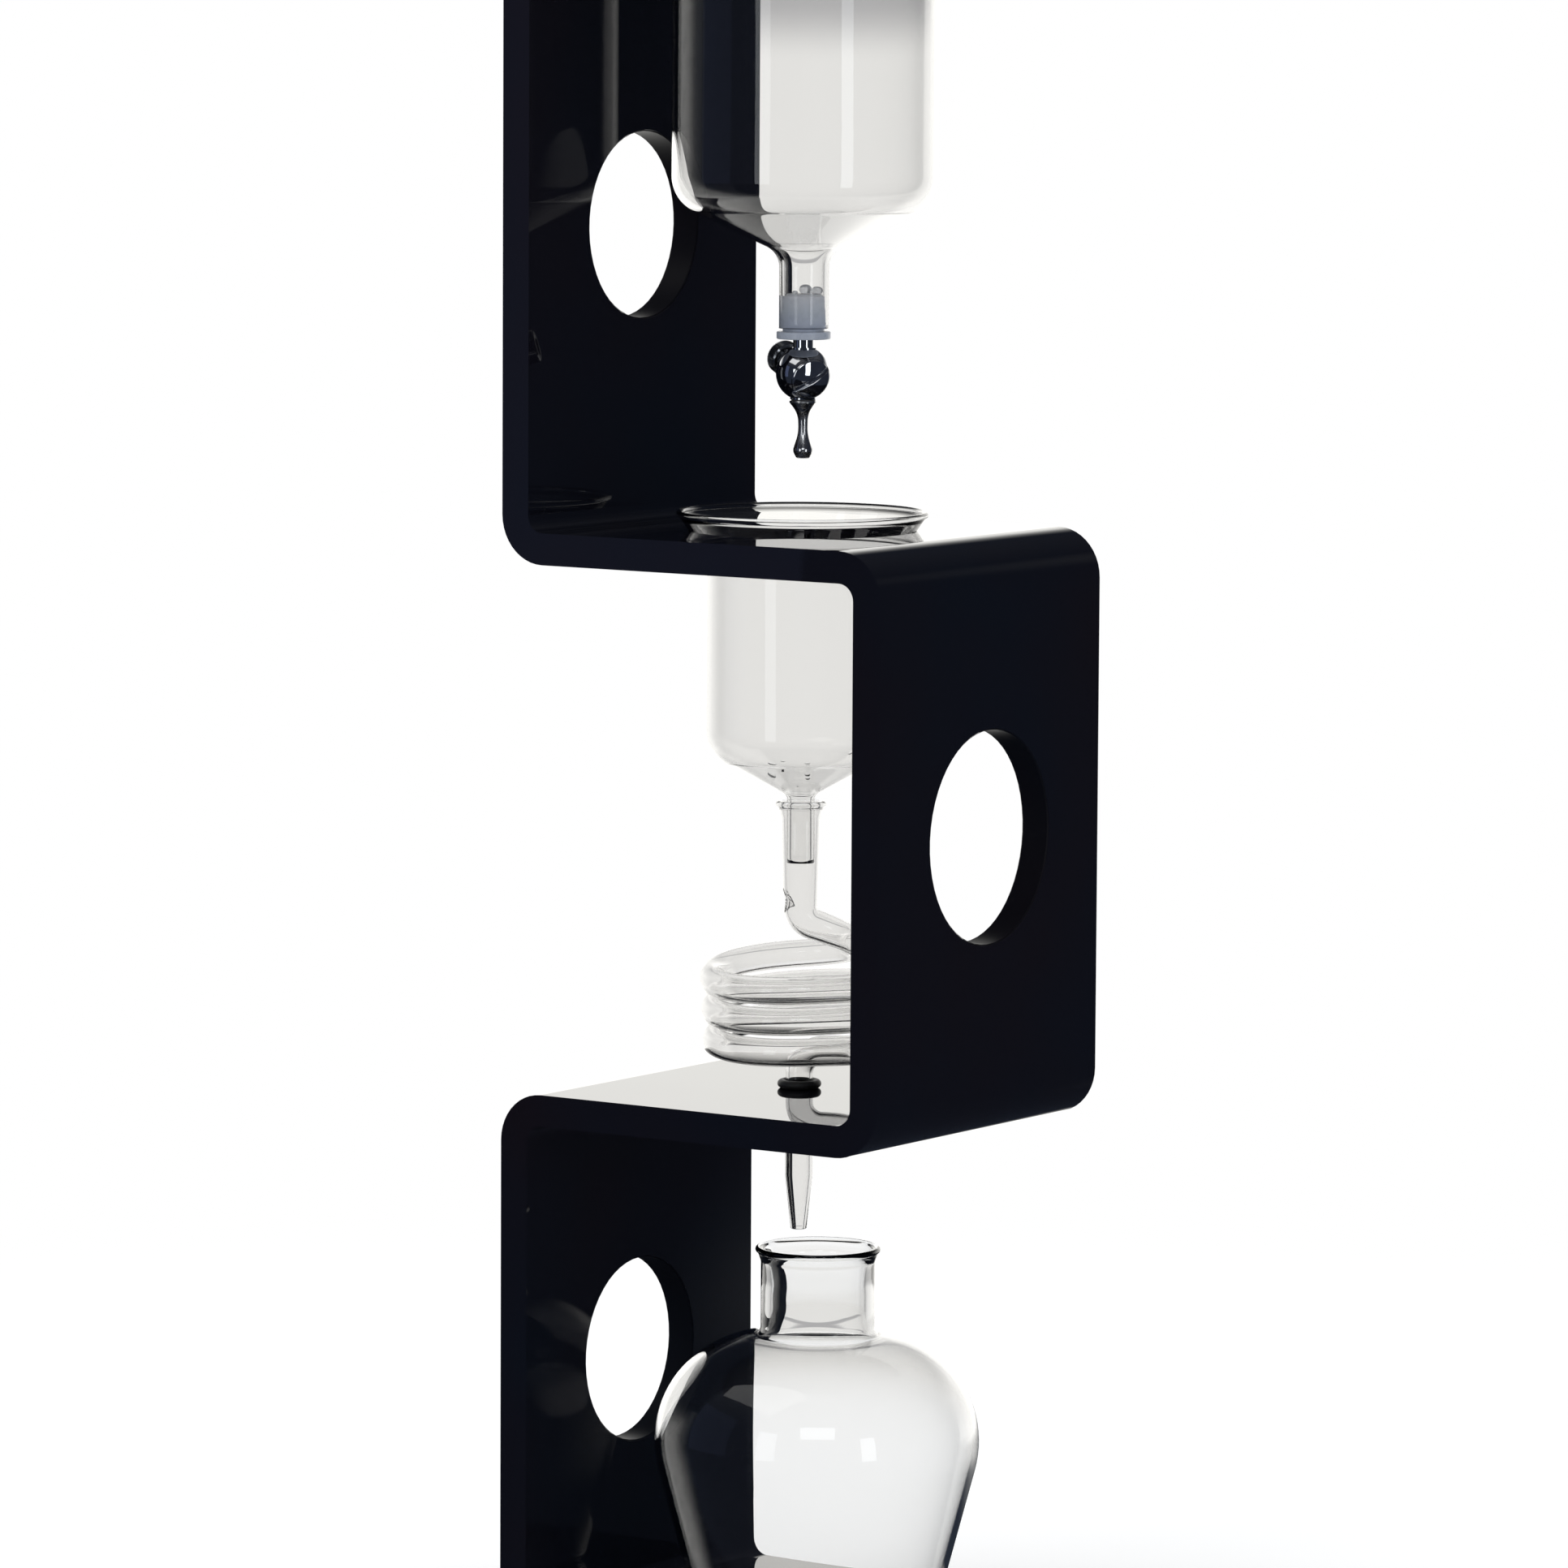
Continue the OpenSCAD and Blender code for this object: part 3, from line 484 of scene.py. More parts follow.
def vessel_profile(corners, wall, bead_centre, bead_radius):
    """Outer and inner line of a glass wall whose first end carries a fire-polished bead."""
    outer = evenly(rounded_line(corners, 24), 2.0)
    inner = beside(outer, (lambda height: -wall(height)) if callable(wall) else -wall)
    centre = Vector(bead_centre)
    outer = [p for p in outer if (p - centre).length > bead_radius * 1.02]
    inner = [p for p in inner if (p - centre).length > bead_radius * 1.02 and p.x > -0.001]
    return outer, inner, centre


# ---------- numbers shared with the model's source, in mm ----------

BASE_TOP = 15.0
LOWER_TOP = 215.0
UPPER_TOP = 427.5
TOP_TOP = 665.0
FLARE = 0.67
ARM_HEADING = math.radians(34.3)


def lifted(line, height):
    return [Vector((p.x, p.y + height)) for p in line]


STEM_MM = 20                # length of a stem's end whose bore takes another piece


def open_vessel(name, corners, wall, bead_at, bead_r, height, uneven, bore_gap=0.0):
    """A vessel open at both ends: rim bead above, plain rounded end of its stem below.

    bore_gap moves the wall of the stem's bore outwards, to fit the piece in it.
    """
    outer, inner, centre = vessel_profile(corners, wall, bead_at, bead_r)
    stem_top = corners[-1][1] + STEM_MM
    inner = [Vector((p.x + (bore_gap if p.y < stem_top else 0.0), p.y)) for p in inner]
    rim = bead_line(centre, bead_r, inner[0], outer[0])
    end = arc_between(outer[-1], inner[-1], -wall * 0.3, 8)
    profile = rim + outer + end + list(reversed(inner))
    return turned(name, lifted(profile, height), vessel_glass, uneven=uneven)


# Water vessel
VESSEL_R, VESSEL_RIM_R, VESSEL_RIM_H, VESSEL_WALL = 50.0, 61.0, 6.5, 2.1
VESSEL_LOW, VESSEL_NECK_TOP, VESSEL_NECK_END, VESSEL_NECK_R = -113.5, -133.0, -161.3, 9.4
VESSEL_BEAD = 1.5
water_glass = open_vessel(
    "water_vessel_glass",
    [(VESSEL_RIM_R, VESSEL_RIM_H, 0),
     (VESSEL_R, VESSEL_RIM_H - (VESSEL_RIM_R - VESSEL_R) / FLARE, 8),
     (VESSEL_R, VESSEL_LOW, 15), (VESSEL_NECK_R, VESSEL_NECK_TOP, 8.5),
     (VESSEL_NECK_R, VESSEL_NECK_END, 0)],
    VESSEL_WALL, (VESSEL_RIM_R - VESSEL_WALL / 2, VESSEL_RIM_H), VESSEL_BEAD, TOP_TOP,
    uneven=0.10, bore_gap=-0.02)
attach(water_glass, "water_vessel")
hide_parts("water_vessel")

# Coffee chamber
CHAMBER_R, CHAMBER_RIM_R, CHAMBER_RIM_H, CHAMBER_WALL = 37.0, 47.3, 6.1, 1.5
CHAMBER_LOW, CHAMBER_STEM_TOP, CHAMBER_STEM_END, CHAMBER_STEM_R = -84.2, -100.8, -126.2, 5.2
CHAMBER_BEAD = 1.2
chamber_glass = open_vessel(
    "coffee_chamber_glass",
    [(CHAMBER_RIM_R, CHAMBER_RIM_H, 0),
     (CHAMBER_R, CHAMBER_RIM_H - (CHAMBER_RIM_R - CHAMBER_R) / FLARE, 8),
     (CHAMBER_R, CHAMBER_LOW, 13), (CHAMBER_STEM_R, CHAMBER_STEM_TOP, 2.2),
     (CHAMBER_STEM_R, CHAMBER_STEM_END, 0)],
    CHAMBER_WALL, (CHAMBER_RIM_R - CHAMBER_WALL / 2, CHAMBER_RIM_H), CHAMBER_BEAD, UPPER_TOP,
    uneven=0.07)
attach(chamber_glass, "coffee_chamber")
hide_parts("coffee_chamber")

# Decanter, closed at the bottom
DECANTER_H, DECANTER_LIP_R, DECANTER_LIP_H, DECANTER_BEAD = 138.8, 23.3, 4.6, 1.1
DECANTER_WALL, DECANTER_NECK_WALL, DECANTER_NECK_LOW, DECANTER_SWELL = 2.2, 3.8, 106.5, 8.0
DECANTER_THINNING = 14.0             # height over which the neck's wall thins to the lip's
DECANTER_NECK_R, DECANTER_FOOT_R, DECANTER_X, DECANTER_LIFT = 21.7, 45.9, 9.0, 0.1
DECANTER_SHOULDER = (72.3, 99.0, 41)  # where shoulder and side would meet, and their rounding


def decanter_wall(height):
    """The glass is thicker in the neck and thin again at the lip."""
    swell = min(1.0, max(0.0, (height - DECANTER_NECK_LOW) / DECANTER_SWELL))
    swell *= min(1.0, max(0.0, (DECANTER_H - height) / DECANTER_THINNING))
    return DECANTER_WALL + (DECANTER_NECK_WALL - DECANTER_WALL) * swell


decanter_outer, decanter_inner, decanter_bead = vessel_profile(
    [(DECANTER_LIP_R, DECANTER_H, 0), (DECANTER_NECK_R, DECANTER_H - DECANTER_LIP_H, 3),
     (DECANTER_NECK_R, DECANTER_NECK_LOW, 3), DECANTER_SHOULDER, (DECANTER_FOOT_R, 0.0, 6),
     (0.0, 0.0, 0)],
    decanter_wall, (DECANTER_LIP_R - DECANTER_BEAD / 2, DECANTER_H), DECANTER_BEAD)
decanter_profile = (bead_line(decanter_bead, DECANTER_BEAD, decanter_inner[0], decanter_outer[0])
                    + decanter_outer + list(reversed(decanter_inner)))
decanter_glass = turned("decanter_glass", lifted(decanter_profile, BASE_TOP + DECANTER_LIFT),
                        vessel_glass, around=(DECANTER_X, 0.0), uneven=0.12)
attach(decanter_glass, "decanter")
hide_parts("decanter")


# ---------- glass spiral: one tube from the socket to the drip tip ----------

HELIX_R, HELIX_TOP, TURN_H, HELIX_TURN = 33.2, 47.2, 11.7, 900.0
TUBE_R, TUBE_BORE, TUBE_SKIN = 5.3, 4.1, 1.3
SOCKET_LINE = [(8.9, 108.4, 0), (7.5, 103.0, 5), (6.6, 69.5, 0)]   # its flared outer line
SOCKET_TOP, SOCKET_END, SOCKET_R, SOCKET_BORE = 107.6, 70.0, 6.6, 5.35
ELBOW_R, ELBOW_BEND, EXIT_Z = 8.0, 70.0, 14.6
EXIT_R = ELBOW_R + 1
DRIP_R, DRIP_TAPER, TIP_R, TIP_END = 5.2, -34.0, 3.1, -53.6
ARM_PULL, TURN_PULL = 22, 30         # how far the arms hold their direction at their ends
BEND_STEPS, ARM_STEPS, TURN_STEPS = 20, 46, 240
HELIX_LEAN, SIDE_FALL = math.tan(math.radians(2.95)), 0.55
HELIX_FALL = TURN_H / (2 * math.pi * HELIX_R) * (1 - SIDE_FALL)
HELIX_END = HELIX_TOP - TURN_H * HELIX_TURN / 360
HELIX_MID = (HELIX_TOP + HELIX_END) / 2


def leaned(x, y, z):
    """The spiral's turns lean a little away from the arm."""
    return Vector((x - (z - HELIX_MID) * HELIX_LEAN, y, z + x * HELIX_LEAN))


def bezier(a, b, c, d, t):
    return ((1 - t) ** 3 * a + 3 * (1 - t) ** 2 * t * b
            + 3 * (1 - t) * t * t * c + t ** 3 * d)


def slimming(t):
    """Outer and inner radius on the way from the socket (t = 0) to the tube (t = 1)."""
    t = min(1.0, t)
    return SOCKET_R + (TUBE_R - SOCKET_R) * t, SOCKET_BORE + (TUBE_BORE - SOCKET_BORE) * t


def spiral_path():
    """The tube's centre line in mm above the lower shelf, with (outer, inner) radii."""
    points = []

    def put(x, y, z, outer, inner):
        points.append((Vector((x, y, z)), outer, inner))

    for p in evenly(rounded_line(SOCKET_LINE, 10), 1.2)[1:]:
        if SOCKET_END < p.y < SOCKET_TOP:
            put(0, 0, p.y, p.x, p.x - TUBE_SKIN)
    bend = math.radians(ELBOW_BEND)
    for i in range(BEND_STEPS + 1):
        a = bend * i / BEND_STEPS
        put(ELBOW_R * (1 - math.cos(a)), 0, SOCKET_END - ELBOW_R * math.sin(a),
            *slimming(i / (2 * BEND_STEPS)))
    start = points[-1][0].copy()
    leave = start + ARM_PULL * Vector((math.sin(bend), 0, -math.cos(bend)))
    toward = leaned(TURN_PULL, HELIX_R, HELIX_TOP + TURN_PULL * HELIX_FALL)
    join = leaned(0, HELIX_R, HELIX_TOP)
    for i in range(1, ARM_STEPS):
        put(*bezier(start, leave, toward, join, i / ARM_STEPS), *slimming(0.5 + i / 24))
    for i in range(TURN_STEPS + 1):
        a = math.radians(90 + HELIX_TURN * i / TURN_STEPS)
        fallen = HELIX_TURN * i / TURN_STEPS / 360 + SIDE_FALL * math.sin(2 * a) / (4 * math.pi)
        put(*leaned(HELIX_R * math.cos(a), HELIX_R * math.sin(a), HELIX_TOP - TURN_H * fallen),
            TUBE_R, TUBE_BORE)
    out = leaned(0, -HELIX_R, HELIX_END)
    leave = leaned(TURN_PULL, -HELIX_R, HELIX_END - TURN_PULL * HELIX_FALL)
    toward = Vector((TURN_PULL, 0, EXIT_Z + 0.6))
    for i in range(1, ARM_STEPS):
        put(*bezier(out, leave, toward, Vector((EXIT_R, 0, EXIT_Z)), i / ARM_STEPS),
            TUBE_R, TUBE_BORE)
    for i in range(BEND_STEPS + 1):
        a = math.pi / 2 * i / BEND_STEPS
        put(EXIT_R * (1 - math.sin(a)), 0, EXIT_Z - EXIT_R * (1 - math.cos(a)),
            TUBE_R - 0.1 * i / BEND_STEPS, TUBE_BORE - 0.2 * i / BEND_STEPS)
    tip = evenly(rounded_line([(DRIP_R, EXIT_Z - EXIT_R, 0), (DRIP_R, DRIP_TAPER, 14),
                               (TIP_R, TIP_END, 0)], 10), 2.0)
    for p in tip[1:]:
        put(0, 0, p.y, p.x, p.x - TUBE_SKIN)
    return points


VENT_HEIGHT = 71.8          # centre of the vent above the lower shelf
VENT_R, VENT_TALL = 1.9, 1.2
VENT_DENT_R = 4.0           # how far round the vent the glass is drawn in
VENT_SIDE = 0.75            # share of a turn at which the vent lies, away from the arm
VENT_HALF = 5               # half width of the refilled window, in columns of faces
VENT_MARGIN = 0.8           # glass between the drawn-in part and the window's edge
VENT_DEEP, VENT_DEEPER_ABOVE = 2.2, 1.2   # how far the edge is drawn in, and its change
VENT_ROWS, VENT_CROWDING = 14, 1.3   # rows of points, and how they crowd towards the hole
VENT_EDGE_ROUND, VENT_EDGE_STEPS = 0.5, 6
SOCKET_RINGS = 60           # the vent lies within this many rings of the tube's upper end


def vent_patch(rings, sides):
    """Refills a window in both skins round the vent: a hole whose edge is drawn inwards.

    Returns the faces that it takes away, the new points and the new faces. Old points keep
    their numbers in the faces; new ones are numbered -1, -2, ... in order.
    """
    def on_skin(row, share, inside, inward):
        low = max(0, min(len(rings) - 2, int(row)))
        t = row - low
        (c0, w0, s0, o0, i0), (c1, w1, s1, o1, i1) = rings[low], rings[low + 1]
        centre, way = c0.lerp(c1, t), w0.lerp(w1, t).normalized()
        across = s0.lerp(s1, t)
        across = (across - across.dot(way) * way).normalized()
        radius = (i0 * (1 - t) + i1 * t) if inside else (o0 * (1 - t) + o1 * t)
        angle = 2 * math.pi * share
        side = math.cos(angle) * across + math.sin(angle) * way.cross(across)
        return centre + (radius - inward) * side

    middle = VENT_SIDE * sides
    along = [0.0]
    for i in range(1, len(rings)):
        step = (on_skin(i, VENT_SIDE, False, 0.0) - on_skin(i - 1, VENT_SIDE, False, 0.0)).length
        along.append(along[-1] + step)
    heights = [on_skin(i, VENT_SIDE, False, 0.0).z for i in range(len(rings))]
    near = min(range(SOCKET_RINGS), key=lambda i: abs(heights[i] - VENT_HEIGHT))
    zero = along[near] + heights[near] - VENT_HEIGHT
    reach = VENT_DENT_R * VENT_TALL + VENT_MARGIN
    top = max(i for i in range(len(rings)) if along[i] < zero - reach)
    bottom = min(i for i in range(len(rings)) if along[i] > zero + reach)
    left, right_side = int(middle) - VENT_HALF, int(middle) + VENT_HALF

    def row_at(distance):
        for i in range(top, bottom + 1):
            if along[i + 1] >= distance:
                return i + (distance - along[i]) / (along[i + 1] - along[i])
        return float(bottom)

    covered = set()
    for i in range(top, bottom):
        for k in range(left, right_side):
            covered.add((i, k))
            covered.add((inner_loop(len(rings), i + 1), k))
    border = [(top, k) for k in range(left, right_side)]
    border += [(i, right_side) for i in range(top, bottom)]
    border += [(bottom, k) for k in range(right_side, left, -1)]
    border += [(i, left) for i in range(bottom, top, -1)]

    mean_r = rings[near][3]
    points, columns = [], []
    shares = [1 - (1 - m / VENT_ROWS) ** VENT_CROWDING for m in range(1, VENT_ROWS + 1)]
    for i, k in border:
        u = (k - middle) * 2 * math.pi / sides * mean_r
        v = (along[i] - zero) / VENT_TALL
        far, bearing = math.hypot(u, v), math.atan2(u, v)
        dent = VENT_DEEP + VENT_DEEPER_ABOVE * math.cos(bearing)

        def place(distance, inside):
            left_over = (distance - VENT_R) / (VENT_DENT_R - VENT_R)
            inward = dent * (1 - max(0.0, min(1.0, left_over))) ** 2.0
            row = row_at(zero + distance * math.cos(bearing) * VENT_TALL)
            turn_share = (middle + distance * math.sin(bearing) / mean_r
                          * sides / (2 * math.pi)) / sides
            return on_skin(row, turn_share, inside, inward)

        column = [i * sides + k]
        for share in shares:
            points.append(place(far + (VENT_R - far) * share, False))
            column.append(-len(points))
        edge_out, edge_in = place(VENT_R, False), place(VENT_R, True)
        hollow = place(VENT_R - VENT_EDGE_ROUND, False) - edge_out
        for m in range(1, VENT_EDGE_STEPS):
            a = m / VENT_EDGE_STEPS
            points.append(edge_out.lerp(edge_in, a) + hollow * math.sin(math.pi * a))
            column.append(-len(points))
        for share in reversed(shares):
            points.append(place(far + (VENT_R - far) * share, True))
            column.append(-len(points))
        column.append(inner_loop(len(rings), i) * sides + k)
        columns.append(column)
    faces = []
    for first, second in zip(columns, columns[1:] + columns[:1]):
        for a, b, c, d in zip(first, second, second[1:], first[1:]):
            faces.append((a, b, c, d))
    return covered, points, faces


END_LOOPS = 7               # loops round the tube's lower end, between its two skins
END_ROUND = 0.8             # how far that end bulges, as a share of half the wall
MOUTH_BEAD, MOUTH_SHIFT, MOUTH_STEPS = 1.3, 0.25, 20   # the bead round the socket's mouth


def inner_loop(count, i):
    """Number of the loop that carries the inner skin of ring i."""
    return count + END_LOOPS + count - 1 - i


def swept_tube(name, points, sides, material, turn, height):
    """A closed pipe along the points, its two skins joined by rounded ends."""
    def placed(p):
        return Vector((p.x * math.cos(turn) - p.y * math.sin(turn),
                       p.x * math.sin(turn) + p.y * math.cos(turn), p.z + height)) * MM

    centres = [p[0] for p in points]
    last = len(centres) - 1
    side = Vector((0, 1, 0.01))
    rings = []
    for i, (centre, outer, inner) in enumerate(points):
        way = (centres[min(i + 1, last)] - centres[max(i - 1, 0)]).normalized()
        side = (side - side.dot(way) * way).normalized()
        rings.append((centre, way, side, outer, inner))

    loops = [(centre, way, across, outer) for centre, way, across, outer, _ in rings]
    centre, way, across, outer, inner = rings[-1]
    middle, half = (outer + inner) / 2, (outer - inner) / 2
    for k in range(1, END_LOOPS + 1):
        a = math.pi * k / (END_LOOPS + 1)
        loops.append((centre + way * half * END_ROUND * math.sin(a), way, across,
                      middle + half * math.cos(a)))
    loops += [(centre, way, across, inner) for centre, way, across, _, inner in reversed(rings)]
    centre, way, across, outer, inner = rings[0]
    middle = (outer + inner) / 2
    for k in range(MOUTH_STEPS + 1):
        a = math.radians(215 - 250 * k / MOUTH_STEPS)
        loops.append((centre + way * (-MOUTH_BEAD * 0.8 - MOUTH_BEAD * math.sin(a)), way, across,
                      middle + MOUTH_SHIFT + MOUTH_BEAD * math.cos(a)))

    vertices, faces = [], []
    for centre, way, across, radius in loops:
        other = way.cross(across)
        for k in range(sides):
            a = 2 * math.pi * k / sides
            vertices.append(placed(centre + radius * (math.cos(a) * across
                                                      + math.sin(a) * other)))
    covered, new_points, new_faces = vent_patch(rings, sides)
    for i in range(len(loops)):
        a, b = i * sides, (i + 1) % len(loops) * sides
        for k in range(sides):
            if (i, k) not in covered:
                m = (k + 1) % sides
                faces.append((a + k, a + m, b + m, b + k))
    first_new = len(vertices)
    vertices += [placed(p) for p in new_points]
    faces += [[first_new - 1 - v if v < 0 else v for v in face] for face in new_faces]
    piece = new_mesh(name, vertices, faces, material)
    close_mesh(piece, weld=False)
    return piece


spiral = swept_tube("glass_spiral_tube", spiral_path(), 40, spiral_glass,
                    ARM_HEADING, LOWER_TOP)
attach(spiral, "glass_spiral")
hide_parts("glass_spiral")


# ---------- drip valve: slotted disc and spout ----------

VALVE_Z, CROSS_HEADING, CROSS_RISE, SLOT_TURN = 0.4867, 149.7, 16.4, 57.2
DISC_R, DISC_DOME, DISC_APEX, DISC_SEAT, DISC_ROUND = 7.85, 1.7, 8.9, 5.8, 0.75
DISC_COLUMNS, DISC_ROWS = 21, 48     # columns of points beside the slot, rows along it
SLOT_HALF, SLOT_BEVEL, BEVEL_STEPS, SLOT_SLOPE = 0.75, 0.42, 5, 0.02
SLOT_DEPTH, SLOT_HOLLOW = 0.8, 0.9   # depth at the rim, and how much deeper in the middle
LEAST_DISC = 0.05                    # what the slot leaves of the disc's thickness
THREAD_R, THREAD_BORE, THREAD_END = 4.8, 3.5, 4.6


def disc_height(radius):
    """How far the disc's face stands out along its axis at a radius, in mm."""
    over = max(0.0, radius - (DISC_R - DISC_ROUND)) / DISC_ROUND
    edge = DISC_ROUND * (1 - math.sqrt(max(0.0, 1 - over * over)))
    return DISC_APEX - DISC_DOME * (radius / DISC_R) ** 2 - edge


def slotted_disc():
    """The domed retaining disc with a bevelled slot that runs through to its rim."""
    edge_angle = math.asin((SLOT_HALF + SLOT_BEVEL) / DISC_R)
    half = []                            # (distance from the slot's middle, sunk, in the slot)
    for k in range(DISC_COLUMNS + 1):
        angle = math.pi / 2 + (edge_angle - math.pi / 2) * k / DISC_COLUMNS
        half.append((DISC_R * math.sin(angle), 0.0, False))
    for k in range(1, BEVEL_STEPS + 1):
        angle = math.pi / 2 * k / BEVEL_STEPS
        half.append((SLOT_HALF + SLOT_BEVEL * (1 - math.sin(angle)),
                     SLOT_BEVEL * (1 - math.cos(angle)), False))
    half += [(SLOT_HALF - SLOT_SLOPE, 0.0, True), (0.0, 0.0, True)]
    columns = [(-w, sunk, low) for w, sunk, low in half] + list(reversed(half[:-1]))
    turn_slot = math.radians(SLOT_TURN)
    vertices, faces = [], []
    for i in range(-1, DISC_ROWS + 2):
        share = math.sin(math.pi * (max(0, min(DISC_ROWS, i)) / DISC_ROWS - 0.5))
        for w, sunk, low in columns:
            u = share * math.sqrt(max(0.0, DISC_R ** 2 - w * w))
            depth = SLOT_DEPTH + SLOT_HOLLOW * (1 - (u / DISC_R) ** 2) if low else sunk
            rise = disc_height(min(DISC_R, math.hypot(u, w))) - depth
            rise = max(DISC_SEAT + LEAST_DISC, rise) if 0 <= i <= DISC_ROWS else DISC_SEAT
            vertices.append(Vector((u * math.cos(turn_slot) - w * math.sin(turn_slot),
                                    u * math.sin(turn_slot) + w * math.cos(turn_slot),
                                    -rise)) * MM)
    wide = len(columns)
    for i in range(DISC_ROWS + 2):
        for k in range(wide - 1):
            a = i * wide + k
            faces.append((a, a + 1, a + wide + 1, a + wide))
    last_row = (DISC_ROWS + 2) * wide
    faces.append(list(range(wide)) + [last_row + k for k in reversed(range(wide))])
    first, sides = len(vertices), 48
    for radius, rise in ((THREAD_R, DISC_SEAT), (THREAD_R, THREAD_END),
                         (THREAD_BORE, THREAD_END), (THREAD_BORE, DISC_SEAT)):
        for k in range(sides):
            a = 2 * math.pi * k / sides
            vertices.append(Vector((radius * math.cos(a), radius * math.sin(a), -rise)) * MM)
    for ring_no in range(4):
        for k in range(sides):
            m = (k + 1) % sides
            a, b = first + ring_no * sides, first + (ring_no + 1) % 4 * sides
            faces.append((a + k, a + m, b + m, b + k))
    piece = new_mesh("slotted_disc", vertices, faces, chrome)
    close_mesh(piece, place=Matrix.Translation((0, 0, VALVE_Z))
               @ Matrix.Rotation(math.radians(CROSS_HEADING), 4, "Z")
               @ Matrix.Rotation(math.radians(90 - CROSS_RISE), 4, "Y"))
    shade_by_angle(piece, 38.0)
    return piece


disc = slotted_disc()
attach(disc, "water_vessel")
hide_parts("plug_screw")

# Heights of the spout are counted from the valve's axis
SPOUT_HEAD, SPOUT_R, SPOUT_STUB_R, SPOUT_STUB_TOP, SPOUT_BORE = -10.2, 5.0, 2.35, -6.4, 1.0
SPOUT_END, SPOUT_END_R, SPOUT_WAIST_R, SPOUT_BULB_R = -32.0, 2.5, 1.75, 3.95
spout_outer = evenly(rounded_line(
    [(SPOUT_R, SPOUT_HEAD, 0), (5.3, -10.9, 0.3), (2.0, -15.2, 9), (SPOUT_WAIST_R, -22.5, 16),
     (SPOUT_BULB_R, -29.2, 2.9), (SPOUT_END_R, SPOUT_END, 1), (SPOUT_BORE, SPOUT_END, 0)],
    16), 0.7)
spout_profile = [Vector((SPOUT_BORE, SPOUT_STUB_TOP)), Vector((SPOUT_STUB_R, SPOUT_STUB_TOP)),
                 Vector((SPOUT_STUB_R, SPOUT_HEAD))] + spout_outer
spout = turned("drip_spout", lifted(spout_profile, VALVE_Z / MM), cast_chrome, sides=72)
shade_by_angle(spout, 40.0)
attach(spout, "water_vessel")
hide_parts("spout")


# ---------- water left in the glass ----------

DROP_SUNK = 0.00008          # how far a drop reaches into what it sits on, in metres


def drop(name, foot, lean, width, tall, body, material):
    """A drop that sits on a surface: foot in metres, lean is the surface's normal."""
    seed = random.Random(name)
    lean = lean.normalized()
    side = lean.orthogonal().normalized()
    other = lean.cross(side)
    steps, sides = 9, 24
    waver = [seed.uniform(0.9, 1.1) for _ in range(4)]
    vertices = [foot - lean * DROP_SUNK]
    rows = [[0]]
    for m in range(1, steps):
        a = math.pi * (0.12 + 0.88 * m / steps)
        row = []
        for k in range(sides):
            b = 2 * math.pi * k / sides
            uneven = 1 + 0.06 * math.sin(2 * b + waver[0] * 9) + 0.03 * math.sin(3 * b + waver[1])
            reach = width / 2 * math.sin(a) ** 0.85 * uneven
            rise = tall * (0.5 - 0.5 * math.cos(a)) ** 1.1
            row.append(len(vertices))
            vertices.append(foot + (side * math.cos(b) + other * math.sin(b)) * reach
                            + lean * (rise - DROP_SUNK))
        rows.append(row)
    rows.append([len(vertices)])
    vertices.append(foot + lean * (tall - DROP_SUNK))
    faces = []
    for low_row, high_row in zip(rows, rows[1:]):
        for k in range(sides):
            m = (k + 1) % sides
            if len(low_row) == 1:
                faces.append((low_row[0], high_row[m], high_row[k]))
            elif len(high_row) == 1:
                faces.append((low_row[k], low_row[m], high_row[0]))
            else:
                faces.append((low_row[k], low_row[m], high_row[m], high_row[k]))
    piece = new_mesh(name, vertices, faces, material)
    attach(piece, body)
    return piece


stopper_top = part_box("stopper")[1].z
for i, (across_mm, away_mm, width_mm, tall_mm) in enumerate(
        [(0.6, -1.6, 4.6, 3.7), (4.9, -1.0, 4.2, 2.9), (-3.2, -3.4, 1.9, 1.4),
         (2.6, -5.2, 1.3, 0.9)]):
    foot = (level_right * across_mm * MM + view_ahead * away_mm * MM
            + Vector((0, 0, stopper_top)))
    drop(f"stopper_drop_{i}", foot, Vector((0, 0, 1)), width_mm * MM, tall_mm * MM,
         "water_vessel", cloudy_water)

CHAMBER_SLOPE = 0.535       # rise of the chamber's cone per millimetre of radius
CONE_START = 1.7 - 101.0    # its inner face at the stem's radius, from the shelf's top
for i, (across_mm, away_mm, width_mm, tall_mm) in enumerate(
        [(-11.5, 9.5, 3.4, 1.6), (-7.2, 16.5, 1.6, 0.9), (2.5, 15.2, 2.1, 1.2),
         (2.6, 13.0, 1.7, 0.8), (19.0, 18.0, 1.6, 0.9), (-1.4, 8.6, 0.8, 0.5)]):
    flat = level_right * across_mm + view_ahead * away_mm
    height_mm = UPPER_TOP + CONE_START + (flat.length - CHAMBER_STEM_R) * CHAMBER_SLOPE
    foot = (flat + Vector((0, 0, height_mm))) * MM
    lean = Vector((0, 0, 1)) - flat.normalized() * CHAMBER_SLOPE
    drop(f"chamber_drop_{i}", foot, lean, width_mm * MM, tall_mm * MM, "coffee_chamber",
         water)


# ---------- finish of the CAD nodes ----------

for name in CAD_FINISHES:
    shade_by_angle(nodes[name], 32.0)
fine_edge(nodes["stand"], 0.45, 60.0)
fine_edge(nodes["lid"], 0.3)
fine_edge(nodes["valve_body"], 0.25, 34.0)


# ---------- floor, backdrop light and lamps ----------

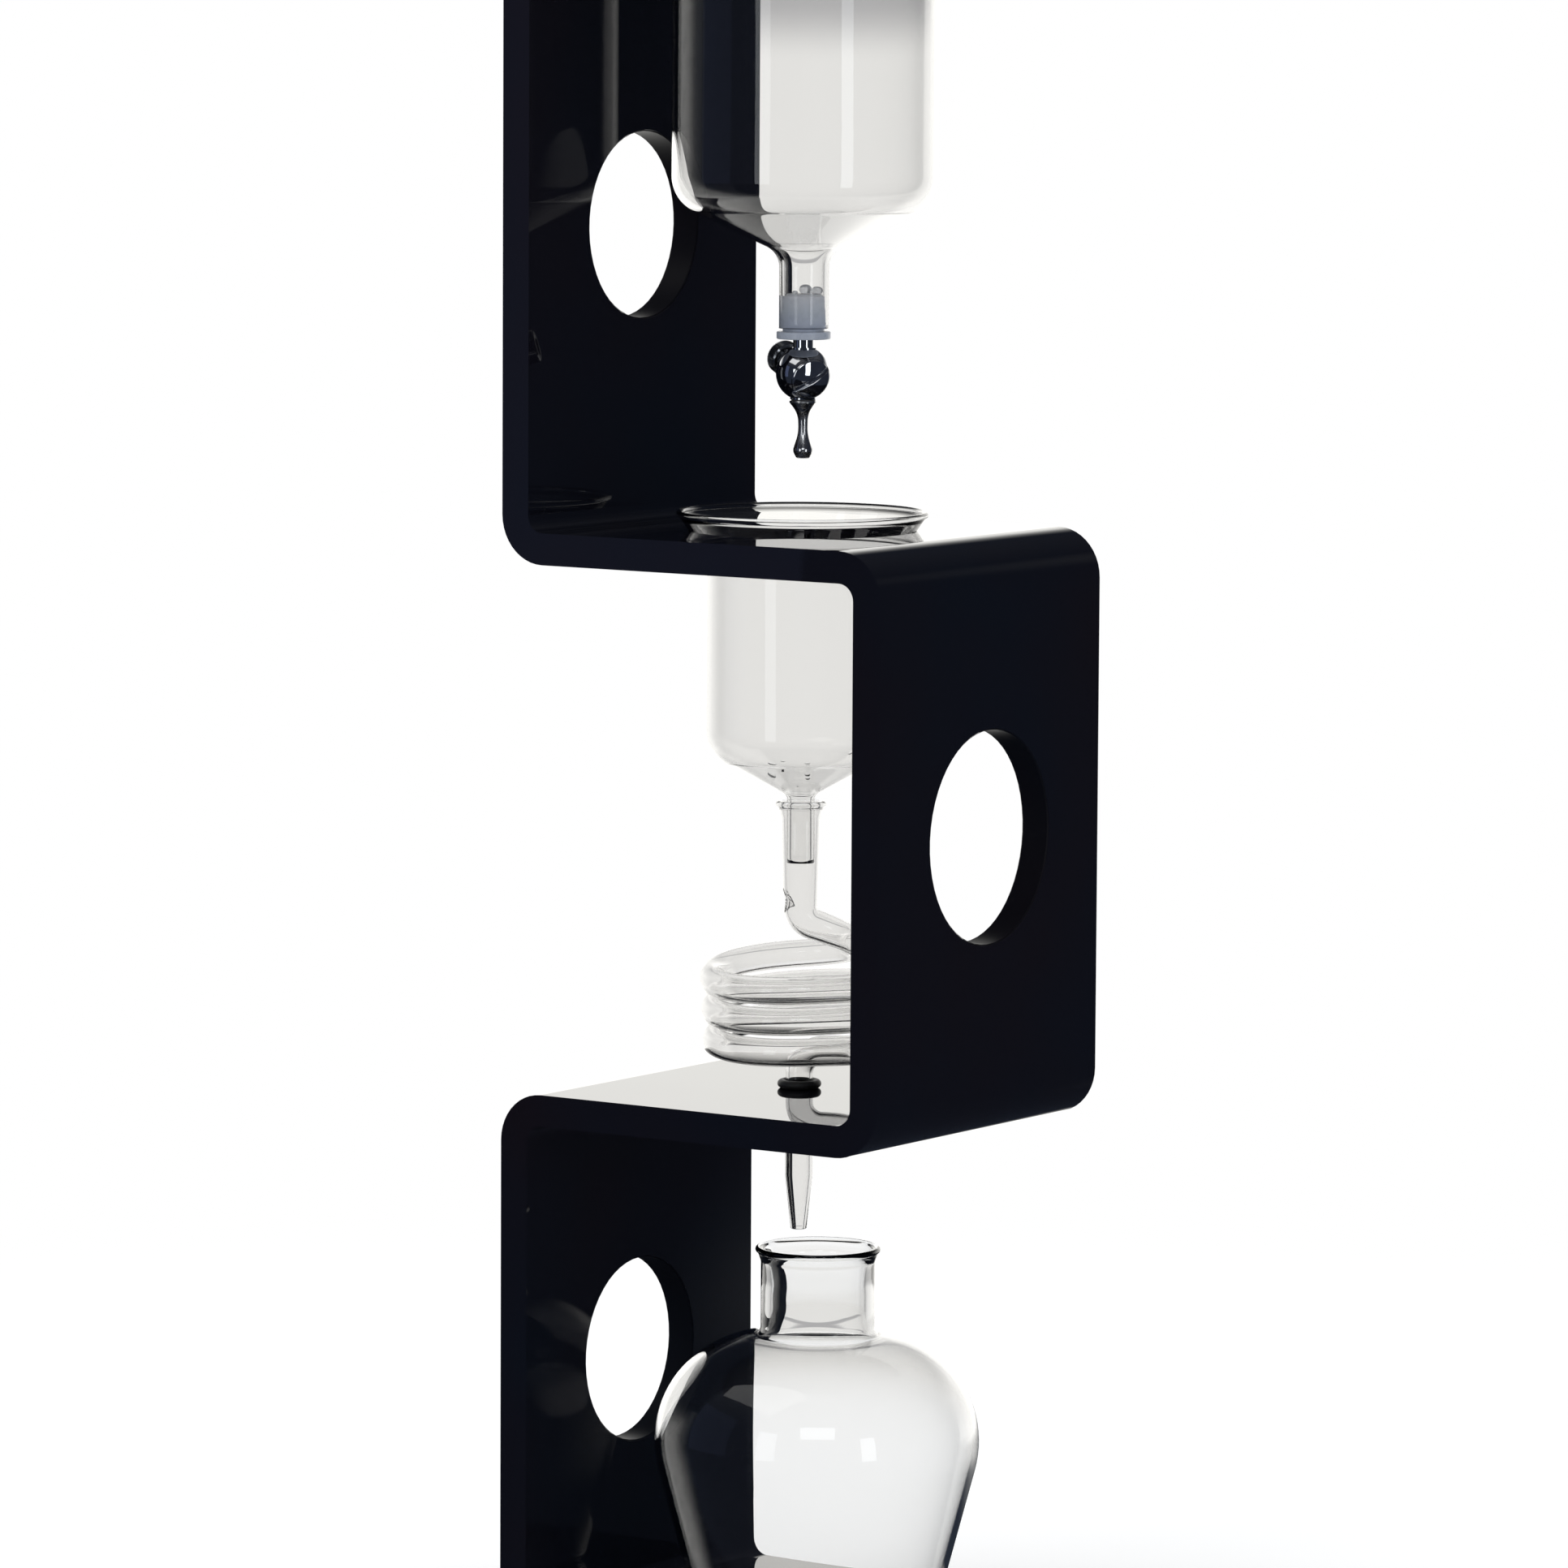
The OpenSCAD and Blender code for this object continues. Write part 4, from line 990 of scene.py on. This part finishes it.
WHITE = (1.0, 1.0, 1.0)
FLOOR_R, FLOOR_SINK = 1.3, 0.0002
FLOOR_COLOUR, FLOOR_LIFT = (0.82, 0.82, 0.81, 1.0), 0.32
FLOOR_FADE = (0.35, 1.05)            # metres from the object between which it turns white
ROOM_LIGHT = (0.80, 0.81, 0.83)      # what matt surfaces get from the room
BACKDROP_GLOW = (1.66, 1.64, 1.58)   # the lit sweep behind the object, as gloss shows it
SEEN_THROUGH = (0.90, 0.892, 0.872)  # the same sweep through glass
WALL_BEHIND = (0.50, 0.495, 0.50)    # the wall above the sweep, through glass
WALL_EDGE = (-0.0225, -0.0150)       # rise of a ray between which the wall begins
WALL_TOP = (0.025, 0.002)            # and between which it ends
WALL_SIDES = (0.93, 0.97)            # cosines from the view between which it begins
ROOM_DARK = (0.022, 0.027, 0.040)    # the unlit room on the camera's side
CEILING = (0.085, 0.086, 0.092)
BACKDROP_EDGE = (0.42, 0.80)         # cosines from the view between which the sweep begins
BACKDROP_TOP = (0.46, 0.20)          # sines of the rise between which it ends
GLASS_EDGE, GLASS_TOP = (0.42, 0.80), (0.95, 0.60)   # the same two limits inside glass
CEILING_EDGE = (0.35, 0.95)
SWEEP_START = (0.45, 0.88)           # metres from the object at which gloss finds the sweep
GLASS_START = (0.20, 0.42)           # the same distance inside glass


def straight_view(tree):
    """1 for camera rays and for rays that came through glass without any reflection."""
    path = light_path(tree)
    unreflected = math_node(tree, "LESS_THAN", path["Glossy Depth"], 0.5)
    through = math_node(tree, "MULTIPLY", path["Is Transmission Ray"], unreflected)
    return math_node(tree, "MAXIMUM", path["Is Camera Ray"], through)


def straight_colour(tree, direction=None):
    """White for camera rays; through glass the sweep's off-white and the wall above it."""
    through = SEEN_THROUGH
    if direction is not None:
        rise = split_axes(tree, direction)["Z"]
        ahead = vector_node(tree, "DOT_PRODUCT", direction, view_ahead)
        band = math_node(tree, "MULTIPLY", faded(tree, rise, *WALL_EDGE),
                         faded(tree, rise, *WALL_TOP))
        band = math_node(tree, "MULTIPLY", band, faded(tree, ahead, *WALL_SIDES))
        through = colour_between(tree, band, SEEN_THROUGH, WALL_BEHIND)
    return colour_between(tree, light_path(tree)["Is Camera Ray"], through, WHITE)


def reflected_view(tree):
    """1 for rays that left a glossy surface, also where they then passed through glass."""
    path = light_path(tree)
    return math_node(tree, "MAXIMUM", path["Is Glossy Ray"], path["Is Transmission Ray"])


def room_colour(tree, direction):
    """The colour that gloss shows in a direction: the lit sweep, the dark room or its ceiling."""
    rise = split_axes(tree, vector_node(tree, "NORMALIZE", direction))["Z"]
    level = vector_node(tree, "MULTIPLY", direction, (1.0, 1.0, 0.0))
    ahead = vector_node(tree, "DOT_PRODUCT", vector_node(tree, "NORMALIZE", level), view_ahead)
    through = light_path(tree)["Is Transmission Ray"]
    sweep = math_node(tree, "MULTIPLY", faded(tree, ahead, *BACKDROP_EDGE),
                      faded(tree, rise, *BACKDROP_TOP))
    wide = math_node(tree, "MULTIPLY", faded(tree, ahead, *GLASS_EDGE),
                     faded(tree, rise, *GLASS_TOP))
    sweep = math_node(tree, "MAXIMUM", sweep, math_node(tree, "MULTIPLY", wide, through))
    room = colour_between(tree, faded(tree, rise, *CEILING_EDGE), ROOM_DARK, CEILING)
    lit = colour_between(tree, through, BACKDROP_GLOW, SEEN_THROUGH)
    return colour_between(tree, sweep, room, lit)


def floor_material():
    """Pale and matt near the object, white further out, and the room's colour in gloss."""
    material = bpy.data.materials.new("pale_floor")
    tree = node_tree(material)
    output = tree.nodes.new("ShaderNodeOutputMaterial")
    place = own_place(tree)
    distance = vector_node(tree, "LENGTH", place)
    diffuse = add_node(tree, "ShaderNodeBsdfDiffuse", Color=FLOOR_COLOUR).outputs[0]
    lift = add_node(tree, "ShaderNodeEmission", Color=(*WHITE, 1.0), Strength=FLOOR_LIFT)
    near = tree.nodes.new("ShaderNodeAddShader")
    tree.links.new(diffuse, near.inputs[0])
    tree.links.new(lift.outputs[0], near.inputs[1])
    glow = add_node(tree, "ShaderNodeEmission", Strength=1.0)
    tree.links.new(straight_colour(tree), glow.inputs["Color"])
    seen = shader_between(tree, faded(tree, distance, *FLOOR_FADE), near.outputs[0],
                          glow.outputs[0])
    inside = math_node(tree, "MULTIPLY", faded(tree, distance, *GLASS_START),
                       light_path(tree)["Is Transmission Ray"])
    far = math_node(tree, "MAXIMUM", faded(tree, distance, *SWEEP_START), inside)
    gloss = add_node(tree, "ShaderNodeEmission", Strength=1.0)
    tree.links.new(colour_between(tree, far, ROOM_DARK, room_colour(tree, place)),
                   gloss.inputs["Color"])
    unseen = shader_between(tree, reflected_view(tree), diffuse, gloss.outputs[0])
    tree.links.new(shader_between(tree, straight_view(tree), unseen, seen),
                   output.inputs["Surface"])
    return material


def make_floor():
    mesh = bmesh.new()
    bmesh.ops.create_circle(mesh, cap_ends=True, segments=96, radius=FLOOR_R)
    data = bpy.data.meshes.new("floor")
    mesh.to_mesh(data)
    mesh.free()
    floor = bpy.data.objects.new("floor", data)
    floor.location.z = -FLOOR_SINK
    scene.collection.objects.link(floor)
    data.materials.append(floor_material())


def make_world():
    """White round the object for the camera and through glass; a darker room in gloss."""
    world = bpy.data.worlds.new("studio")
    scene.world = world
    world.use_nodes = True
    tree = world.node_tree
    tree.nodes.clear()
    output = tree.nodes.new("ShaderNodeOutputWorld")
    background = tree.nodes.new("ShaderNodeBackground")
    direction = tree.nodes.new("ShaderNodeTexCoord").outputs["Generated"]
    lit = colour_between(tree, reflected_view(tree), ROOM_LIGHT, room_colour(tree, direction))
    shown = colour_between(tree, straight_view(tree), lit, straight_colour(tree, direction))
    tree.links.new(shown, background.inputs["Color"])
    tree.links.new(background.outputs[0], output.inputs["Surface"])


make_floor()
make_world()

LAMP_AIM = Vector((0, 0, 0.3))       # the point that every lamp faces


def window_lamp(name, turn, rise, width, height, distance, radiance, colour=(0.93, 0.97, 1.0),
                gloss_only=False):
    """A soft rectangular lamp; turn counts to the right of the camera's side, rise upwards."""
    heading = math.radians(turn) - math.pi / 2 + VIEW_HEADING
    level = distance * math.cos(math.radians(rise))
    place = LAMP_AIM + Vector((level * math.cos(heading), level * math.sin(heading),
                               distance * math.sin(math.radians(rise))))
    lamp = bpy.data.lights.new(name, "AREA")
    lamp.shape = "RECTANGLE"
    lamp.size = width
    lamp.size_y = height
    lamp.energy = radiance * math.pi * width * height
    lamp.color = colour
    obj = bpy.data.objects.new(name, lamp)
    obj.location = place
    obj.rotation_mode = "QUATERNION"
    obj.rotation_quaternion = (LAMP_AIM - place).to_track_quat("-Z", "Y")
    obj.visible_camera = False
    obj.visible_transmission = False
    obj.visible_diffuse = not gloss_only
    scene.collection.objects.link(obj)


window_lamp("window_middle", 0.0, 24.0, 1.7, 0.9, 4.0, 1.6)
window_lamp("window_left", -37.0, 6.0, 0.95, 2.2, 4.0, 2.0)
window_lamp("window_right", 36.5, -1.0, 0.75, 2.5, 4.0, 1.2)
window_lamp("panes_middle", 0.0, 24.0, 1.7, 0.9, 3.98, 1.6, gloss_only=True)
window_lamp("panes_right", 36.5, -1.0, 0.75, 2.5, 3.98, 2.0, gloss_only=True)
window_lamp("far_left", -85.0, 10.0, 2.6, 2.6, 4.0, 0.12, (0.45, 0.55, 1.0))
window_lamp("top_lamp", -70.0, 58.0, 2.6, 1.8, 3.0, 1.0, (1.0, 0.99, 0.97))

scene.view_settings.view_transform = "Standard"
